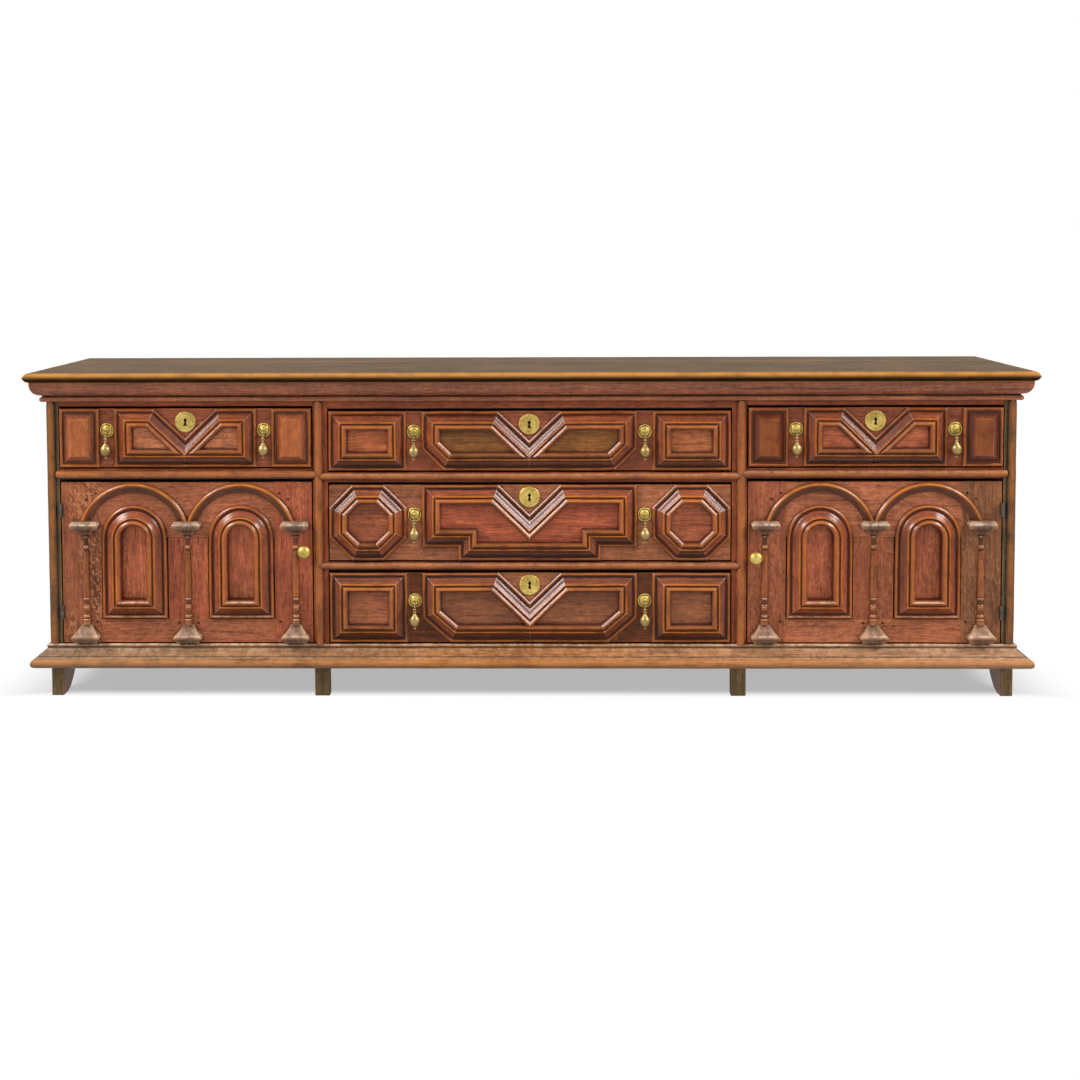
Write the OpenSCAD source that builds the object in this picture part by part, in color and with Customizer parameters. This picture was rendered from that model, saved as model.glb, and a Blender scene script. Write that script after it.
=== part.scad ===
// Joined oak dresser base with three bays, five drawers and two arcaded cupboard doors.
// Millimetres. X runs to the right, Y to the back and Z up from the floor.
// The origin lies on the floor under the middle of the top.

/* [Carcass] */
// Width of the opening of each side bay
side_bay_w = 677; // [600:1:760]
// Width of the opening of the centre bay
centre_bay_w = 1074; // [960:1:1200]
// Front width of each muntin between the bays
muntin_w = 40; // [36:1:60]
// Front width of each corner stile
stile_w = 33; // [26:1:45]
// Depth of each corner stile, seen from the side
stile_d = 105; // [80:1:130]
// Depth of the carcass behind its front plane
carcass_d = 520; // [480:5:600]
// Height of the carcass under its top
carcass_h = 848; // [835:1:900]
// Thickness of the front rails and muntins
frame_t = 28; // [24:1:34]
// Thickness of the rails of the two ends
side_rail_t = 30; // [24:1:33]
// Thickness of the rails and muntins of the back
back_t = 25; // [20:1:30]
// Thickness of the ends' and the back's panels
panel_t = 10; // [6:1:12]
// Depth by which a panel or board enters its groove
groove_d = 8; // [5:1:10]
// Height of the bottom rail of each end
side_bottom_rail_h = 117; // [90:1:140]
// Height of the top rail of each end
side_top_rail_h = 108; // [90:1:130]
// Width of the muntin in the middle of each end
side_muntin_w = 60; // [40:1:80]
// Height of the bottom rail of the back
back_bottom_rail_h = 70; // [64:1:100]
// Height of the top rail of the back
back_top_rail_h = 80; // [60:1:110]
// Thickness of the partitions between the bays
partition_t = 20; // [16:1:24]
// Thickness of the floor boards
floor_t = 18; // [12:1:22]
// Drop of the floor boards below the top of the bottom rail
floor_drop = 4; // [2:1:8]
// Thickness of the bottom rail's lower edge above the base moulding's underside
bottom_rail_lift = 7; // [0:1:12]
// Height of the worn slope behind each corner foot
foot_wear_h = 44; // [20:1:60]
// Depth of each corner foot where it meets the floor
foot_sole_d = 36; // [30:1:60]

/* [Openings] */
// Height of the floor of the bays above the ground
floor_z = 142; // [132:1:160]
// Height of the top rail of each side bay
side_frieze_h = 68; // [64:1:78]
// Height of the top rail of the centre bay
centre_frieze_h = 76; // [66:1:84]
// Height of the rail between a door and the drawer above it
side_mid_rail_h = 29; // [27:1:36]
// Height of the opening of each side drawer
side_drawer_open_h = 166; // [150:1:176]
// Height of the lower rail between the centre drawers
lower_rail_h = 24; // [22:1:30]
// Height of the upper rail between the centre drawers
upper_rail_h = 29; // [26:1:34]
// Share of the lowest centre drawer in the height of its bay
low_share = 197; // [184:1:204]
// Share of the middle centre drawer in the height of its bay
middle_share = 212; // [205:1:220]
// Share of the upper centre drawer in the height of its bay
upper_share = 168; // [158:1:174]
// Running gap beside each drawer front and around each door
gap = 3; // [2:0.5:4]
// Gap over each drawer front
drawer_top_gap = 5; // [3:0.5:6]
// Gap under each drawer front
drawer_foot_gap = 4; // [3:0.5:5]
// Gap over each door
door_top_gap = 7.5; // [3:0.5:8]

/* [Top] */
// Thickness of the planks of the top
top_t = 24; // [20:1:30]
// Overhang of the top past the front of the carcass
front_overhang = 50; // [45:1:70]
// Overhang of the top past each end of the carcass
side_overhang = 48; // [44:1:70]
// Overhang of the top past the back of the carcass
back_overhang = 10; // [0:1:20]
// Depth of the wide front plank
front_plank_d = 420; // [360:5:460]

/* [Mouldings] */
// Height of the base moulding
base_h = 59; // [54:1:62]
// Projection of the base moulding
base_projection = 44; // [38:1:46]
// Projection of the cornice moulding
cornice_projection = 35; // [28:1:40]
// Height of the cornice moulding with the bead under it
cornice_h = 54; // [50:1:58]
// Width of the half-round beads on the muntins
muntin_bead_w = 25; // [20:1:28]
// Distance of each muntin's bead from the centre bay, to its middle
muntin_bead_x = 24.5; // [18:0.5:26]
// Width of the flattened beads on the corner stiles
stile_bead_w = 24; // [18:1:25]
// Projection of the beads on the corner stiles
stile_bead_h = 7; // [4:0.5:9]
// Width of the half-round beads on the side rails
side_bead_w = 22; // [18:1:24]
// Width of the half-round bead on the upper centre rail
upper_bead_w = 22; // [18:1:24]
// Width of the half-round bead on the lower centre rail
lower_bead_w = 21; // [16:1:22]
// Length by which the side beads lie on the corner stiles
bead_lap = 8.5; // [4:0.5:8.5]
// Width of the mitred mouldings on the drawers
drawer_moulding_w = 50; // [44:0.5:51]
// Width of the mitred mouldings on the doors
door_moulding_w = 52; // [46:0.5:56]
// Width of the big arch mouldings
arch_w = 24; // [16:1:28]

/* [Drawers] */
// Thickness of each drawer front
front_t = 20; // [16:1:24]
// Depth of each drawer with its front
drawer_d = 470; // [400:5:476]
// Thickness of the drawer sides
drawer_side_t = 12; // [10:1:15]
// Thickness of the drawer backs
drawer_back_t = 10; // [8:1:14]
// Thickness of the drawer bottoms
drawer_bottom_t = 8; // [6:1:12]
// Drop of the drawer sides below the top of the front
drawer_side_drop = 12; // [8:1:20]
// Height of the runners that the drawers hang on
runner_h = 16; // [12:1:20]
// Depth of the groove in a drawer side
runner_groove_d = 7; // [5:0.5:8]
// Clearance of a runner in its groove
runner_clearance = 0.5; // [0.3:0.1:1]
// Width of the bare strips that carry the drops
strip_w = 39.5; // [38:0.5:46]
// Width of the small panels on the centre drawers
centre_small_w = 208; // [196:1:220]
// Width of the small panels on the side drawers
side_small_w = 106; // [96:1:116]
// Half width of the V in each large panel
v_w = 82; // [76:1:84]
// Height of the V in each large panel
v_h = 79; // [74:1:80]
// Size of the cut corners of the upper centre drawer
upper_chamfer = 58; // [46:1:62]
// Width of the cut corners of the lowest centre drawer
low_chamfer_w = 76; // [60:1:80]
// Height of the cut corners of the lowest centre drawer
low_chamfer_h = 66; // [58:1:72]
// Width of the step of the middle centre drawer
step_w = 97; // [90:1:110]
// Height of the step of the middle centre drawer
step_h = 36; // [32:1:44]

/* [Doors] */
// Thickness of the door frames
door_t = 22; // [20:1:26]
// Width of the door stile at the hinges
hinge_stile_w = 105.5; // [98:0.5:114]
// Width of the door stile at the knob
lock_stile_w = 101.5; // [94:0.5:110]
// Width of the muntin in the middle of each door
door_muntin_w = 107.5; // [98:0.5:116]
// Height of the bottom rail of each door
door_bottom_rail_h = 63; // [60:1:76]
// Height of the head of each door above the springing line of its panels
door_head_h = 149.5; // [142:0.5:160]
// Depth of the panels behind the front of the door
panel_recess = 8; // [5:1:10]
// Distance of the panel mouldings from the edge of the frame around them
moulding_gap = 2.5; // [1:0.5:4]
// Distance of the left door's outer column from its hinge edge
left_column_inset = 64; // [50:1:66]
// Distance of the right door's outer column from its hinge edge
right_column_inset = 54; // [50:1:66]
// Distance of the inner column from the knob edge of the door
inner_column_inset = 45; // [42:1:56]
// Height of the foot of the capitals above the springing line
capital_rise = 6.5; // [0:0.5:14]
// Height of the capitals
capital_h = 38; // [30:1:40]
// Width of the capitals
capital_w = 75; // [66:1:80]
// Height of the plinths of the columns
plinth_h = 47; // [42:1:50]
// Width of the plinths of the columns
plinth_w = 76; // [68:1:80]

/* [Metalwork] */
// Diameter of the round plates behind the drops
rosette_d = 38; // [32:1:38]
// Distance of the drops' pivot from the drawer front
pivot_out = 17; // [16:0.5:22]
// Distance of the drops' pivot below the middle of its plate
pivot_drop = 5; // [0:0.5:6]
// Length of a drop from its pivot to its tip
drop_l = 70; // [66:1:80]
// Diameter of the pear of a drop
pear_d = 28.5; // [24:0.5:30]
// Diameter of the escutcheons
escutcheon_d = 56; // [44:1:58]
// Diameter of the door knobs
knob_d = 35; // [28:1:36]
// Distance of the knobs from the edge of the door
knob_inset = 19; // [18:0.5:24]
// Distance of the left knob below the springing line
left_knob_drop = 35; // [20:1:60]
// Distance of the right knob below the springing line
right_knob_drop = 52; // [20:1:60]
// Height of each hinge
hinge_h = 38; // [30:1:50]
// Diameter of the hinge knuckles
knuckle_d = 9; // [8:0.5:9]
// Diameter of the hinge pins
hinge_pin_d = 3.2; // [2.4:0.2:4]
// Height of the lower hinges above the foot of the door
lower_hinge_z = 81; // [60:1:110]
// Distance of the upper hinges below the head of the door
upper_hinge_drop = 74.5; // [50:0.5:100]

/* [Hidden] */
$fn = 32;

// Overall sizes
case_w = centre_bay_w + 2 * (muntin_w + side_bay_w + stile_w);
half_w = case_w / 2;
top_d = front_overhang + carcass_d + back_overhang;
front_y = front_overhang - top_d / 2;
base_z = floor_z - base_h;
stile_x = half_w - stile_w;
muntin_x = centre_bay_w / 2;
side_x = muntin_x + muntin_w + side_bay_w / 2;
partition_x = muntin_x + (muntin_w - partition_t) / 2;
inside_back_y = carcass_d - back_t;

// Heights of the openings of the side bays and of the centre bay
side_frieze_z = carcass_h - side_frieze_h;
side_drawer_z = side_frieze_z - side_drawer_open_h;
side_rail_z = side_drawer_z - side_mid_rail_h;
door_open_h = side_rail_z - floor_z;
centre_frieze_z = carcass_h - centre_frieze_h;
free_h = centre_frieze_z - floor_z - lower_rail_h - upper_rail_h;
share = free_h / (low_share + middle_share + upper_share);
lower_rail_z = floor_z + share * low_share;
middle_drawer_z = lower_rail_z + lower_rail_h;
upper_rail_z = middle_drawer_z + share * middle_share;
upper_drawer_z = upper_rail_z + upper_rail_h;

// The five drawers, in the order left, right, upper, middle, low
LEFT = 0;
RIGHT = 1;
UPPER = 2;
MIDDLE = 3;
LOW = 4;
drawer_x = [-side_x, side_x, 0, 0, 0];
drawer_z = [side_drawer_z, side_drawer_z, upper_drawer_z, middle_drawer_z, floor_z];
opening_w = [side_bay_w, side_bay_w, centre_bay_w, centre_bay_w, centre_bay_w];
opening_h = [
    side_drawer_open_h, side_drawer_open_h, share * upper_share, share * middle_share, share * low_share
];
small_w = [side_small_w, side_small_w, centre_small_w, centre_small_w, centre_small_w];
chamfer = [[0, 0], [0, 0], [upper_chamfer, upper_chamfer], [0, 0], [low_chamfer_w, low_chamfer_h]];
// Height of the drops' plates and of the keyholes below the top edge of each drawer front
plate_down = [57.5, 57.5, 55, 80, 75];
key_down = [36, 36, 35.5, 33, 33.5];

// Width of the joint lines between pieces, and the length by which a cut runs past a face
seam = 0.2;
through = 1;
// Steps of a small arc, and the extents of the cells in which mouldings are mitred
arc_steps = 5;
reach = 60;
tall = 90;
deep = 20;
// Drop of the side rails' beads below the drawers, and the radius of their outer ends
side_bead_drop = 4;
bead_end_r = 3;
// Pegs of the ends and of the doors
peg_d = 8;
peg_l = 18;
peg_stand = 0.8;
peg_back = 35;
peg_edge = 15;
peg_pitch = 26;
door_peg_d = 7;
door_peg_l = 14;
door_peg_in = 14;
door_peg_top = 30;
door_peg_step = [24, 16];
door_peg_foot = 56;
muntin_peg = [26, 53];
// Lift of the columns and drop of the big arches on the doors
column_lift = 2;
arch_drop = 2;
// Eye of a drop, and the two lugs and the bar that carry it
pin_d = 3.2;
pin_clearance = 0.05;
eye_d = 8;
eye_w = 5;
lug_w = 2.2;
lug_gap = 0.5;
lug_d = 6.4;
lug_neck = 5;
lug_root = 2;
rosette_h = 8;
// Hinge leaves and knuckles
leaf_gap = 0.6;
leaf_d = 18;
knuckle_gap = 0.3;
knuckle_out = 0.5;
// Keyhole, its plate, and the width, depth and height of the lock behind it
key_hole_d = 9;
key_hole_up = 5;
key_slot_w = 4.6;
key_slot_l = 17;
key_slot_top = 7;
plate_t = 2.6;
plate_pin_inset = 4.6;
lock_size = [96, 15, 62];
lock_gap = 3;

// Points of an elliptical arc
function arc(cx, cy, rx, ry, from, to, steps = arc_steps) =
    [for (i = [0:steps]) let (a = from + (to - from) * i / steps) [cx + rx * cos(a), cy + ry * sin(a)]];

// Points of one turned bead of height h, radius r and neck radius n, its foot at z
function turned(z, h, r, n, steps = 6) =
    [for (i = [0:steps]) let (a = -90 + 180 * i / steps)
        [n + (r - n) * cos(a), z + h / 2 + h / 2 * sin(a)]];

// Section of the mitred mouldings: distance in from the outer edge, height above the face
function moulding_section(w, base = 0) = let (u = w / 50) concat(
    [[0, base], [0, 3 * u]],
    arc(4.5 * u, 3 * u, 4.5 * u, 5 * u, 180, 0),
    [[9 * u, 2 * u], [13 * u, 2 * u], [13 * u, 4.5 * u]],
    [for (i = [1:4]) let (t = i / 4) [(13 + 14.5 * t) * u, (4.5 + 12 * t + 1.4 * sin(360 * t)) * u]],
    arc(30.5 * u, 16.5 * u, 3 * u, 3.2 * u, 180, 0, 4),
    [[34 * u, 14.5 * u], [36.5 * u, 14.5 * u]],
    arc(43 * u, 17 * u, 6.5 * u, 6.5 * u, 180, 0, 6),
    [[w, 16 * u], [w, base]]
);

// Section of the narrow bead around the side drawers' small panels
small_unit = drawer_moulding_w / 50;
small_rim = 13 * small_unit;
small_section = let (u = small_unit) concat(
    [[0, 0], [0, 3.5 * u]],
    arc(4.5 * u, 3.5 * u, 4.5 * u, 5 * u, 180, 0),
    [[9 * u, 2.5 * u], [small_rim, 2.5 * u], [small_rim, 0]]
);

// Section of the base moulding: distance out from the carcass, height above its underside
base_section = concat(
    [[0, 0], [0, base_h], [5, base_h]],
    arc(5, base_h - 3.5, 3, 3.5, 90, -30, 4),
    [[8, base_h - 7], [6.5, base_h - 9], [8.5, base_h - 13], [12, base_h - 19.5]],
    [[17, base_h - 25], [22, base_h - 27.5], [24, base_h - 28], [24, base_h - 29.5]],
    [[base_projection - 15, base_h - 29.5], [base_projection - 10.5, base_h - 32]],
    arc(base_projection - 13, 12.5, 13, 12.5, 70, -90, 7)
);

// Section of the cornice: distance out from the carcass, height above its underside
cornice_section = concat(
    [[0, cornice_h], [0, 0], [8, 0]],
    arc(8, 7, 6, 7, -90, 90),
    [[8, 17], [11, 17]],
    arc(11, cornice_h - 5, cornice_projection - 11, cornice_h - 22.5, -90, 0, 6),
    [[cornice_projection, cornice_h]]
);

// Line of a polygon's edge moved inwards, worked out at each corner
function unit(v) = v / norm(v);
function left_normal(a, b) = let (u = unit(b - a)) [-u[1], u[0]];
function inset_corner(p, i, w) = let (
    n = len(p),
    before = left_normal(p[(i + n - 1) % n], p[i]),
    after = left_normal(p[i], p[(i + 1) % n])
) p[i] + w * (before + after) / (1 + before * after);
function inset(p, w) = [for (i = [0:len(p) - 1]) inset_corner(p, i, w)];

module placed() { translate([0, front_y, 0]) children(); }

module both_sides() {
    children();
    mirror([1, 0, 0]) children();
}

module board(x0, x1, y0, y1, z0, z1) {
    translate([x0, y0, z0]) cube([x1 - x0, y1 - y0, z1 - z0]);
}

// Stands a flat layout of the front upright: its y becomes Z and its height comes forward
module on_front(x, z, y = 0) { translate([x, y, z]) rotate([90, 0, 0]) children(); }

// A section run along X
module along_x(x0, x1) {
    translate([x0, 0, 0]) rotate([90, 0, 90]) linear_extrude(x1 - x0) children();
}

// One mitred length of a section on a flat layout, kept inside its own cell
module strip(section, from, to, cell) {
    length = norm(to - from);
    angle = atan2(to[1] - from[1], to[0] - from[0]);
    intersection() {
        translate([from[0], from[1], 0])
            rotate([0, 0, angle])
                along_x(-reach, length + reach) polygon(section);
        translate([0, 0, -deep]) linear_extrude(tall) polygon(inset(cell, seam / 2));
    }
}

// A closed ring of mitred lengths around an outline with its inside on the left
module ring(outline, w, section) {
    inner = inset(outline, w);
    n = len(outline);
    for (i = [0:n - 1]) {
        j = (i + 1) % n;
        strip(section, outline[i], outline[j], [outline[i], outline[j], inner[j], inner[i]]);
    }
}

// The ring of a V panel whose V runs down into the bottom length, which takes edge 0
module merged_ring(outline, w, section, v_edge) {
    inner = inset(outline, w);
    n = len(outline);
    tip = outline[v_edge + 1];
    foot = outline[0][1];
    fall = cos(v_angle);
    meet = [tip[0], foot + (tip[1] - foot) * fall / (1 + fall)];
    side = (w + w / fall - (tip[1] - foot)) / tan(v_angle);
    right_meet = [tip[0] + side, foot + w];
    left_meet = [tip[0] - side, foot + w];
    for (i = [0:n - 1]) {
        j = (i + 1) % n;
        cell = i == 0 ? [outline[0], outline[1], inner[1], right_meet, meet, left_meet, inner[0]]
            : i == v_edge ? [outline[i], tip, meet, right_meet, inner[i]]
            : i == v_edge + 1 ? [tip, outline[j], inner[j], left_meet, meet]
            : [outline[i], outline[j], inner[j], inner[i]];
        strip(section, outline[i], outline[j], cell);
    }
}

// Top
module plank(y0, y1, nosed) {
    half = half_w + side_overhang;
    r = top_t / 2;
    lip = nosed ? arc(y0 + r, r, r, r, 270, 90, 10) : [[y0, 0], [y0, top_t]];
    translate([0, 0, carcass_h]) intersection() {
        along_x(-half, half) polygon(concat(lip, [[y1, top_t], [y1, 0]]));
        translate([0, y1, 0]) rotate([90, 0, 0]) linear_extrude(y1 - y0)
            polygon(concat(arc(half - r, r, r, r, -90, 90, 10), arc(r - half, r, r, r, 90, 270, 10)));
    }
}

module top_front_plank() {
    color("sienna") placed() plank(-front_overhang, front_plank_d - front_overhang, true);
}

module top_back_plank() {
    color("sienna") placed() plank(front_plank_d - front_overhang, carcass_d + back_overhang, false);
}

// A section carried along the front and back along both ends, mitred at the corners
module wrapped(section, projection, z) {
    p = projection + through;
    translate([0, 0, z]) {
        intersection() {
            mirror([0, 1, 0]) along_x(-half_w - p, half_w + p) polygon(section);
            linear_extrude(tall)
                polygon([[-half_w, 0], [half_w, 0], [half_w + p - seam, -p], [seam - half_w - p, -p]]);
        }
        both_sides() intersection() {
            translate([half_w, carcass_d, 0]) rotate([90, 0, 0])
                linear_extrude(carcass_d + p) polygon(section);
            linear_extrude(tall)
                polygon([[half_w, 0], [half_w + p, -p], [half_w + p, carcass_d], [half_w, carcass_d]]);
        }
    }
}

module cornice_moulding() {
    color("brown") placed() wrapped(cornice_section, cornice_projection, carcass_h - cornice_h);
}

module base_moulding() {
    color("brown") placed() wrapped(base_section, base_projection, base_z);
}

// Blanks of the panels of one end; the frame's grooves are cut with them too
side_panel_x = stile_x + (side_rail_t - panel_t) / 2;
side_panel_z0 = base_z + side_bottom_rail_h;
side_panel_z1 = carcass_h - side_top_rail_h;
module side_panel_blanks() {
    for (y = [[stile_d, (carcass_d - side_muntin_w) / 2],
              [(carcass_d + side_muntin_w) / 2, carcass_d - stile_d]])
        board(side_panel_x, side_panel_x + panel_t, y[0] - groove_d, y[1] + groove_d,
            side_panel_z0 - groove_d, side_panel_z1 + groove_d);
}

// Pegs of the tenons of one end, seen on the outer face of its stiles
module side_pegs(extra) {
    for (y = [stile_d - peg_back, carcass_d - stile_d + peg_back])
        for (z = [side_panel_z0 - peg_edge - peg_pitch, side_panel_z0 - peg_edge,
                  side_panel_z1 + peg_edge, side_panel_z1 + peg_edge + peg_pitch])
            translate([half_w - peg_l, y, z]) rotate([0, 90, 0]) cylinder(d = peg_d, h = peg_l + extra);
}

module carcass_pegs() {
    color("saddlebrown") placed() both_sides() side_pegs(peg_stand);
}

// One stile with its worn foot
module stile_blank() {
    rise = foot_wear_h;
    run = stile_d - foot_sole_d;
    along_x(stile_x, half_w) polygon([
        [0, 0], [foot_sole_d, 0], [foot_sole_d + 0.35 * run, 0.16 * rise],
        [foot_sole_d + 0.75 * run, 0.6 * rise], [stile_d, rise], [stile_d, carcass_h], [0, carcass_h]
    ]);
}

module corner_stiles() {
    color("peru") placed() both_sides() difference() {
        stile_blank();
        side_panel_blanks();
        side_pegs(through);
    }
}

module back_stiles() {
    color("peru") placed() both_sides() difference() {
        translate([0, carcass_d, 0]) mirror([0, 1, 0]) stile_blank();
        side_panel_blanks();
        side_pegs(through);
        back_panel_blanks();
    }
}

module muntins() {
    color("sienna") placed() both_sides()
        board(muntin_x, muntin_x + muntin_w, 0, frame_t, 0, carcass_h);
}

// One front rail across the side bays or the centre bay
module side_rails(z0, z1) { both_sides() board(muntin_x + muntin_w, stile_x, 0, frame_t, z0, z1); }
module centre_rail(z0, z1) { board(-muntin_x, muntin_x, 0, frame_t, z0, z1); }

module front_rails() {
    color("sienna") placed() {
        difference() {
            union() {
                side_rails(base_z + bottom_rail_lift, floor_z);
                centre_rail(base_z + bottom_rail_lift, floor_z);
            }
            floor_board_blanks();
        }
        side_rails(side_rail_z, side_drawer_z);
        side_rails(side_frieze_z, carcass_h);
        centre_rail(lower_rail_z, middle_drawer_z);
        centre_rail(upper_rail_z, upper_drawer_z);
        centre_rail(centre_frieze_z, carcass_h);
    }
}

// Half-round beads; plan outlines give the pointed ends and the notches that they enter
side_bead_z = side_drawer_z - side_bead_w / 2 - side_bead_drop;
upper_bead_z = upper_drawer_z - upper_bead_w / 2;
lower_bead_z = middle_drawer_z - lower_bead_w / 2;
bead_x = muntin_x + muntin_bead_x;

module rail_bead(x0, x1, z, w, outline) {
    intersection() {
        translate([x0, 0, z]) rotate([0, 90, 0]) cylinder(d = w, h = x1 - x0);
        on_front(0, 0) linear_extrude(tall) polygon(outline);
    }
}

module side_bead() {
    end_x = stile_x + bead_lap;
    h = side_bead_w / 2;
    z = side_bead_z;
    point = bead_x + seam;
    rail_bead(bead_x, end_x, z, side_bead_w, concat(
        [[point, z], [point + h, z - h]],
        arc(end_x - bead_end_r, z, bead_end_r, h, -90, 90),
        [[point + h, z + h]]
    ));
}

module centre_bead(z, w) {
    h = w / 2;
    point = bead_x - seam;
    rail_bead(-bead_x, bead_x, z, w, [
        [-point, z], [h - point, z - h], [point - h, z - h],
        [point, z], [point - h, z + h], [h - point, z + h]
    ]);
}

module notch(z, side) {
    h = muntin_bead_w / 2;
    on_front(0, 0) linear_extrude(tall)
        polygon([[bead_x, z], [bead_x + side * (h + through), z - h - through],
                 [bead_x + side * (h + through), z + h + through]]);
}

module muntin_bead() {
    top = carcass_h - cornice_h;
    h = muntin_bead_w / 2;
    difference() {
        intersection() {
            translate([bead_x, 0, floor_z]) cylinder(d = muntin_bead_w, h = top - floor_z);
            on_front(0, 0) linear_extrude(tall) polygon(concat(
                [[bead_x - h, floor_z], [bead_x + h, floor_z]],
                arc(bead_x, top - h, h, h, 0, 180, 10)
            ));
        }
        notch(side_bead_z, 1);
        notch(upper_bead_z, -1);
        notch(lower_bead_z, -1);
    }
}

// Flattened bead along the outer edge of a corner stile, round at its top
module stile_bead() {
    top = carcass_h - cornice_h;
    h = stile_bead_w / 2;
    x = half_w - h;
    intersection() {
        translate([0, 0, floor_z]) linear_extrude(top - floor_z)
            polygon(arc(x, 0, h, stile_bead_h, 180, 360, 8));
        on_front(0, 0) linear_extrude(tall) polygon(concat(
            [[x - h, floor_z], [x + h, floor_z]], arc(x, top - h, h, h, 0, 180, 10)
        ));
    }
}

module bead_mouldings() {
    color("chocolate") placed() {
        both_sides() {
            side_bead();
            muntin_bead();
            stile_bead();
        }
        centre_bead(upper_bead_z, upper_bead_w);
        centre_bead(lower_bead_z, lower_bead_w);
    }
}

// Ends
module side_frames() {
    color("sienna") placed() both_sides() difference() {
        union() {
            board(stile_x, stile_x + side_rail_t, stile_d, carcass_d - stile_d, base_z, side_panel_z0);
            board(stile_x, stile_x + side_rail_t, stile_d, carcass_d - stile_d, side_panel_z1, carcass_h);
            board(stile_x, stile_x + side_rail_t, (carcass_d - side_muntin_w) / 2,
                (carcass_d + side_muntin_w) / 2, side_panel_z0 + seam, side_panel_z1 - seam);
        }
        side_panel_blanks();
    }
}

module side_panels() { color("chocolate") placed() both_sides() side_panel_blanks(); }

// Back
back_panel_y = inside_back_y + (back_t - panel_t) / 2;
back_panel_z0 = base_z + back_bottom_rail_h;
back_panel_z1 = carcass_h - back_top_rail_h;
module back_panel_blank(x0, x1) {
    board(x0 - groove_d, x1 + groove_d, back_panel_y, back_panel_y + panel_t,
        back_panel_z0 - groove_d, back_panel_z1 + groove_d);
}
module back_panel_blanks() {
    back_panel_blank(-muntin_x, muntin_x);
    both_sides() back_panel_blank(muntin_x + muntin_w, stile_x);
}

module back_frame() {
    color("saddlebrown") placed() difference() {
        union() {
            board(-stile_x, stile_x, inside_back_y, carcass_d, base_z, back_panel_z0);
            board(-stile_x, stile_x, inside_back_y, carcass_d, back_panel_z1, carcass_h);
            both_sides() board(muntin_x, muntin_x + muntin_w, inside_back_y, carcass_d,
                back_panel_z0 + seam, back_panel_z1 - seam);
        }
        back_panel_blanks();
        floor_board_blanks();
    }
}

module back_panels() { color("tan") placed() back_panel_blanks(); }

// Inside
module partitions() {
    color("tan") placed() both_sides()
        board(partition_x, partition_x + partition_t, frame_t, inside_back_y,
            base_z + bottom_rail_lift, carcass_h);
}

module floor_board_blanks() {
    y0 = frame_t - groove_d;
    y1 = inside_back_y + groove_d;
    z1 = floor_z - floor_drop;
    board(-partition_x, partition_x, y0, y1, z1 - floor_t, z1);
    both_sides() board(partition_x + partition_t, stile_x, y0, y1, z1 - floor_t, z1);
}

module floor_boards() {
    color("tan") placed() difference() {
        floor_board_blanks();
        both_sides() board(muntin_x, muntin_x + muntin_w, 0, frame_t, 0, carcass_h);
    }
}

// Runners that enter the grooves of the drawer sides
function drawer_half(i) = opening_w[i] / 2 - gap;
function drawer_front_h(i) = opening_h[i] - drawer_top_gap - drawer_foot_gap;
function runner_z(i) = drawer_z[i] + opening_h[i] / 2 - runner_h / 2;
runner_tip = runner_groove_d - runner_clearance;

module drawer_runners() {
    color("tan") placed() {
        both_sides() {
            z = runner_z(RIGHT);
            board(partition_x + partition_t, side_x - drawer_half(RIGHT) + runner_tip,
                frame_t, inside_back_y, z, z + runner_h);
            board(side_x + drawer_half(RIGHT) - runner_tip, stile_x,
                frame_t, inside_back_y, z, z + runner_h);
        }
        for (i = [UPPER, MIDDLE, LOW]) both_sides()
            board(drawer_half(i) - runner_tip, partition_x,
                frame_t, inside_back_y, runner_z(i), runner_z(i) + runner_h);
    }
}

// Drawers
module at_drawer(i) { placed() translate([drawer_x[i], 0, drawer_z[i] + drawer_foot_gap]) children(); }

module key_hole(length) {
    rotate([90, 0, 0]) translate([0, 0, -length / 2]) {
        translate([0, key_hole_up, 0]) cylinder(d = key_hole_d, h = length);
        translate([0, key_slot_top - key_slot_l, 0]) linear_extrude(length) polygon([
            [-key_slot_w, 0], [key_slot_w, 0], [key_slot_w / 2, key_slot_l / 2],
            [key_slot_w / 2, key_slot_l], [-key_slot_w / 2, key_slot_l], [-key_slot_w / 2, key_slot_l / 2]
        ]);
    }
}

module drawer_front(i) {
    half = drawer_half(i);
    h = drawer_front_h(i);
    color("sienna") at_drawer(i) difference() {
        board(-half, half, 0, front_t, 0, h);
        translate([0, front_t / 2, h - key_down[i]]) key_hole(front_t + 2 * through);
    }
}

module drawer_box(i) {
    half = drawer_half(i);
    h = drawer_front_h(i);
    groove_z = opening_h[i] / 2 - drawer_foot_gap - runner_h / 2 - runner_clearance;
    color("burlywood") at_drawer(i) {
        board(-half, half, front_t, drawer_d, 0, drawer_bottom_t);
        inside = half - drawer_side_t - seam;
        side_z = drawer_bottom_t + seam;
        board(-inside, inside, drawer_d - drawer_back_t, drawer_d, side_z, h - drawer_side_drop);
        both_sides() difference() {
            board(half - drawer_side_t, half, front_t, drawer_d, side_z, h - drawer_side_drop);
            board(half - runner_groove_d, half + through, front_t, drawer_d + through,
                groove_z, groove_z + runner_h + 2 * runner_clearance);
        }
    }
}

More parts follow.
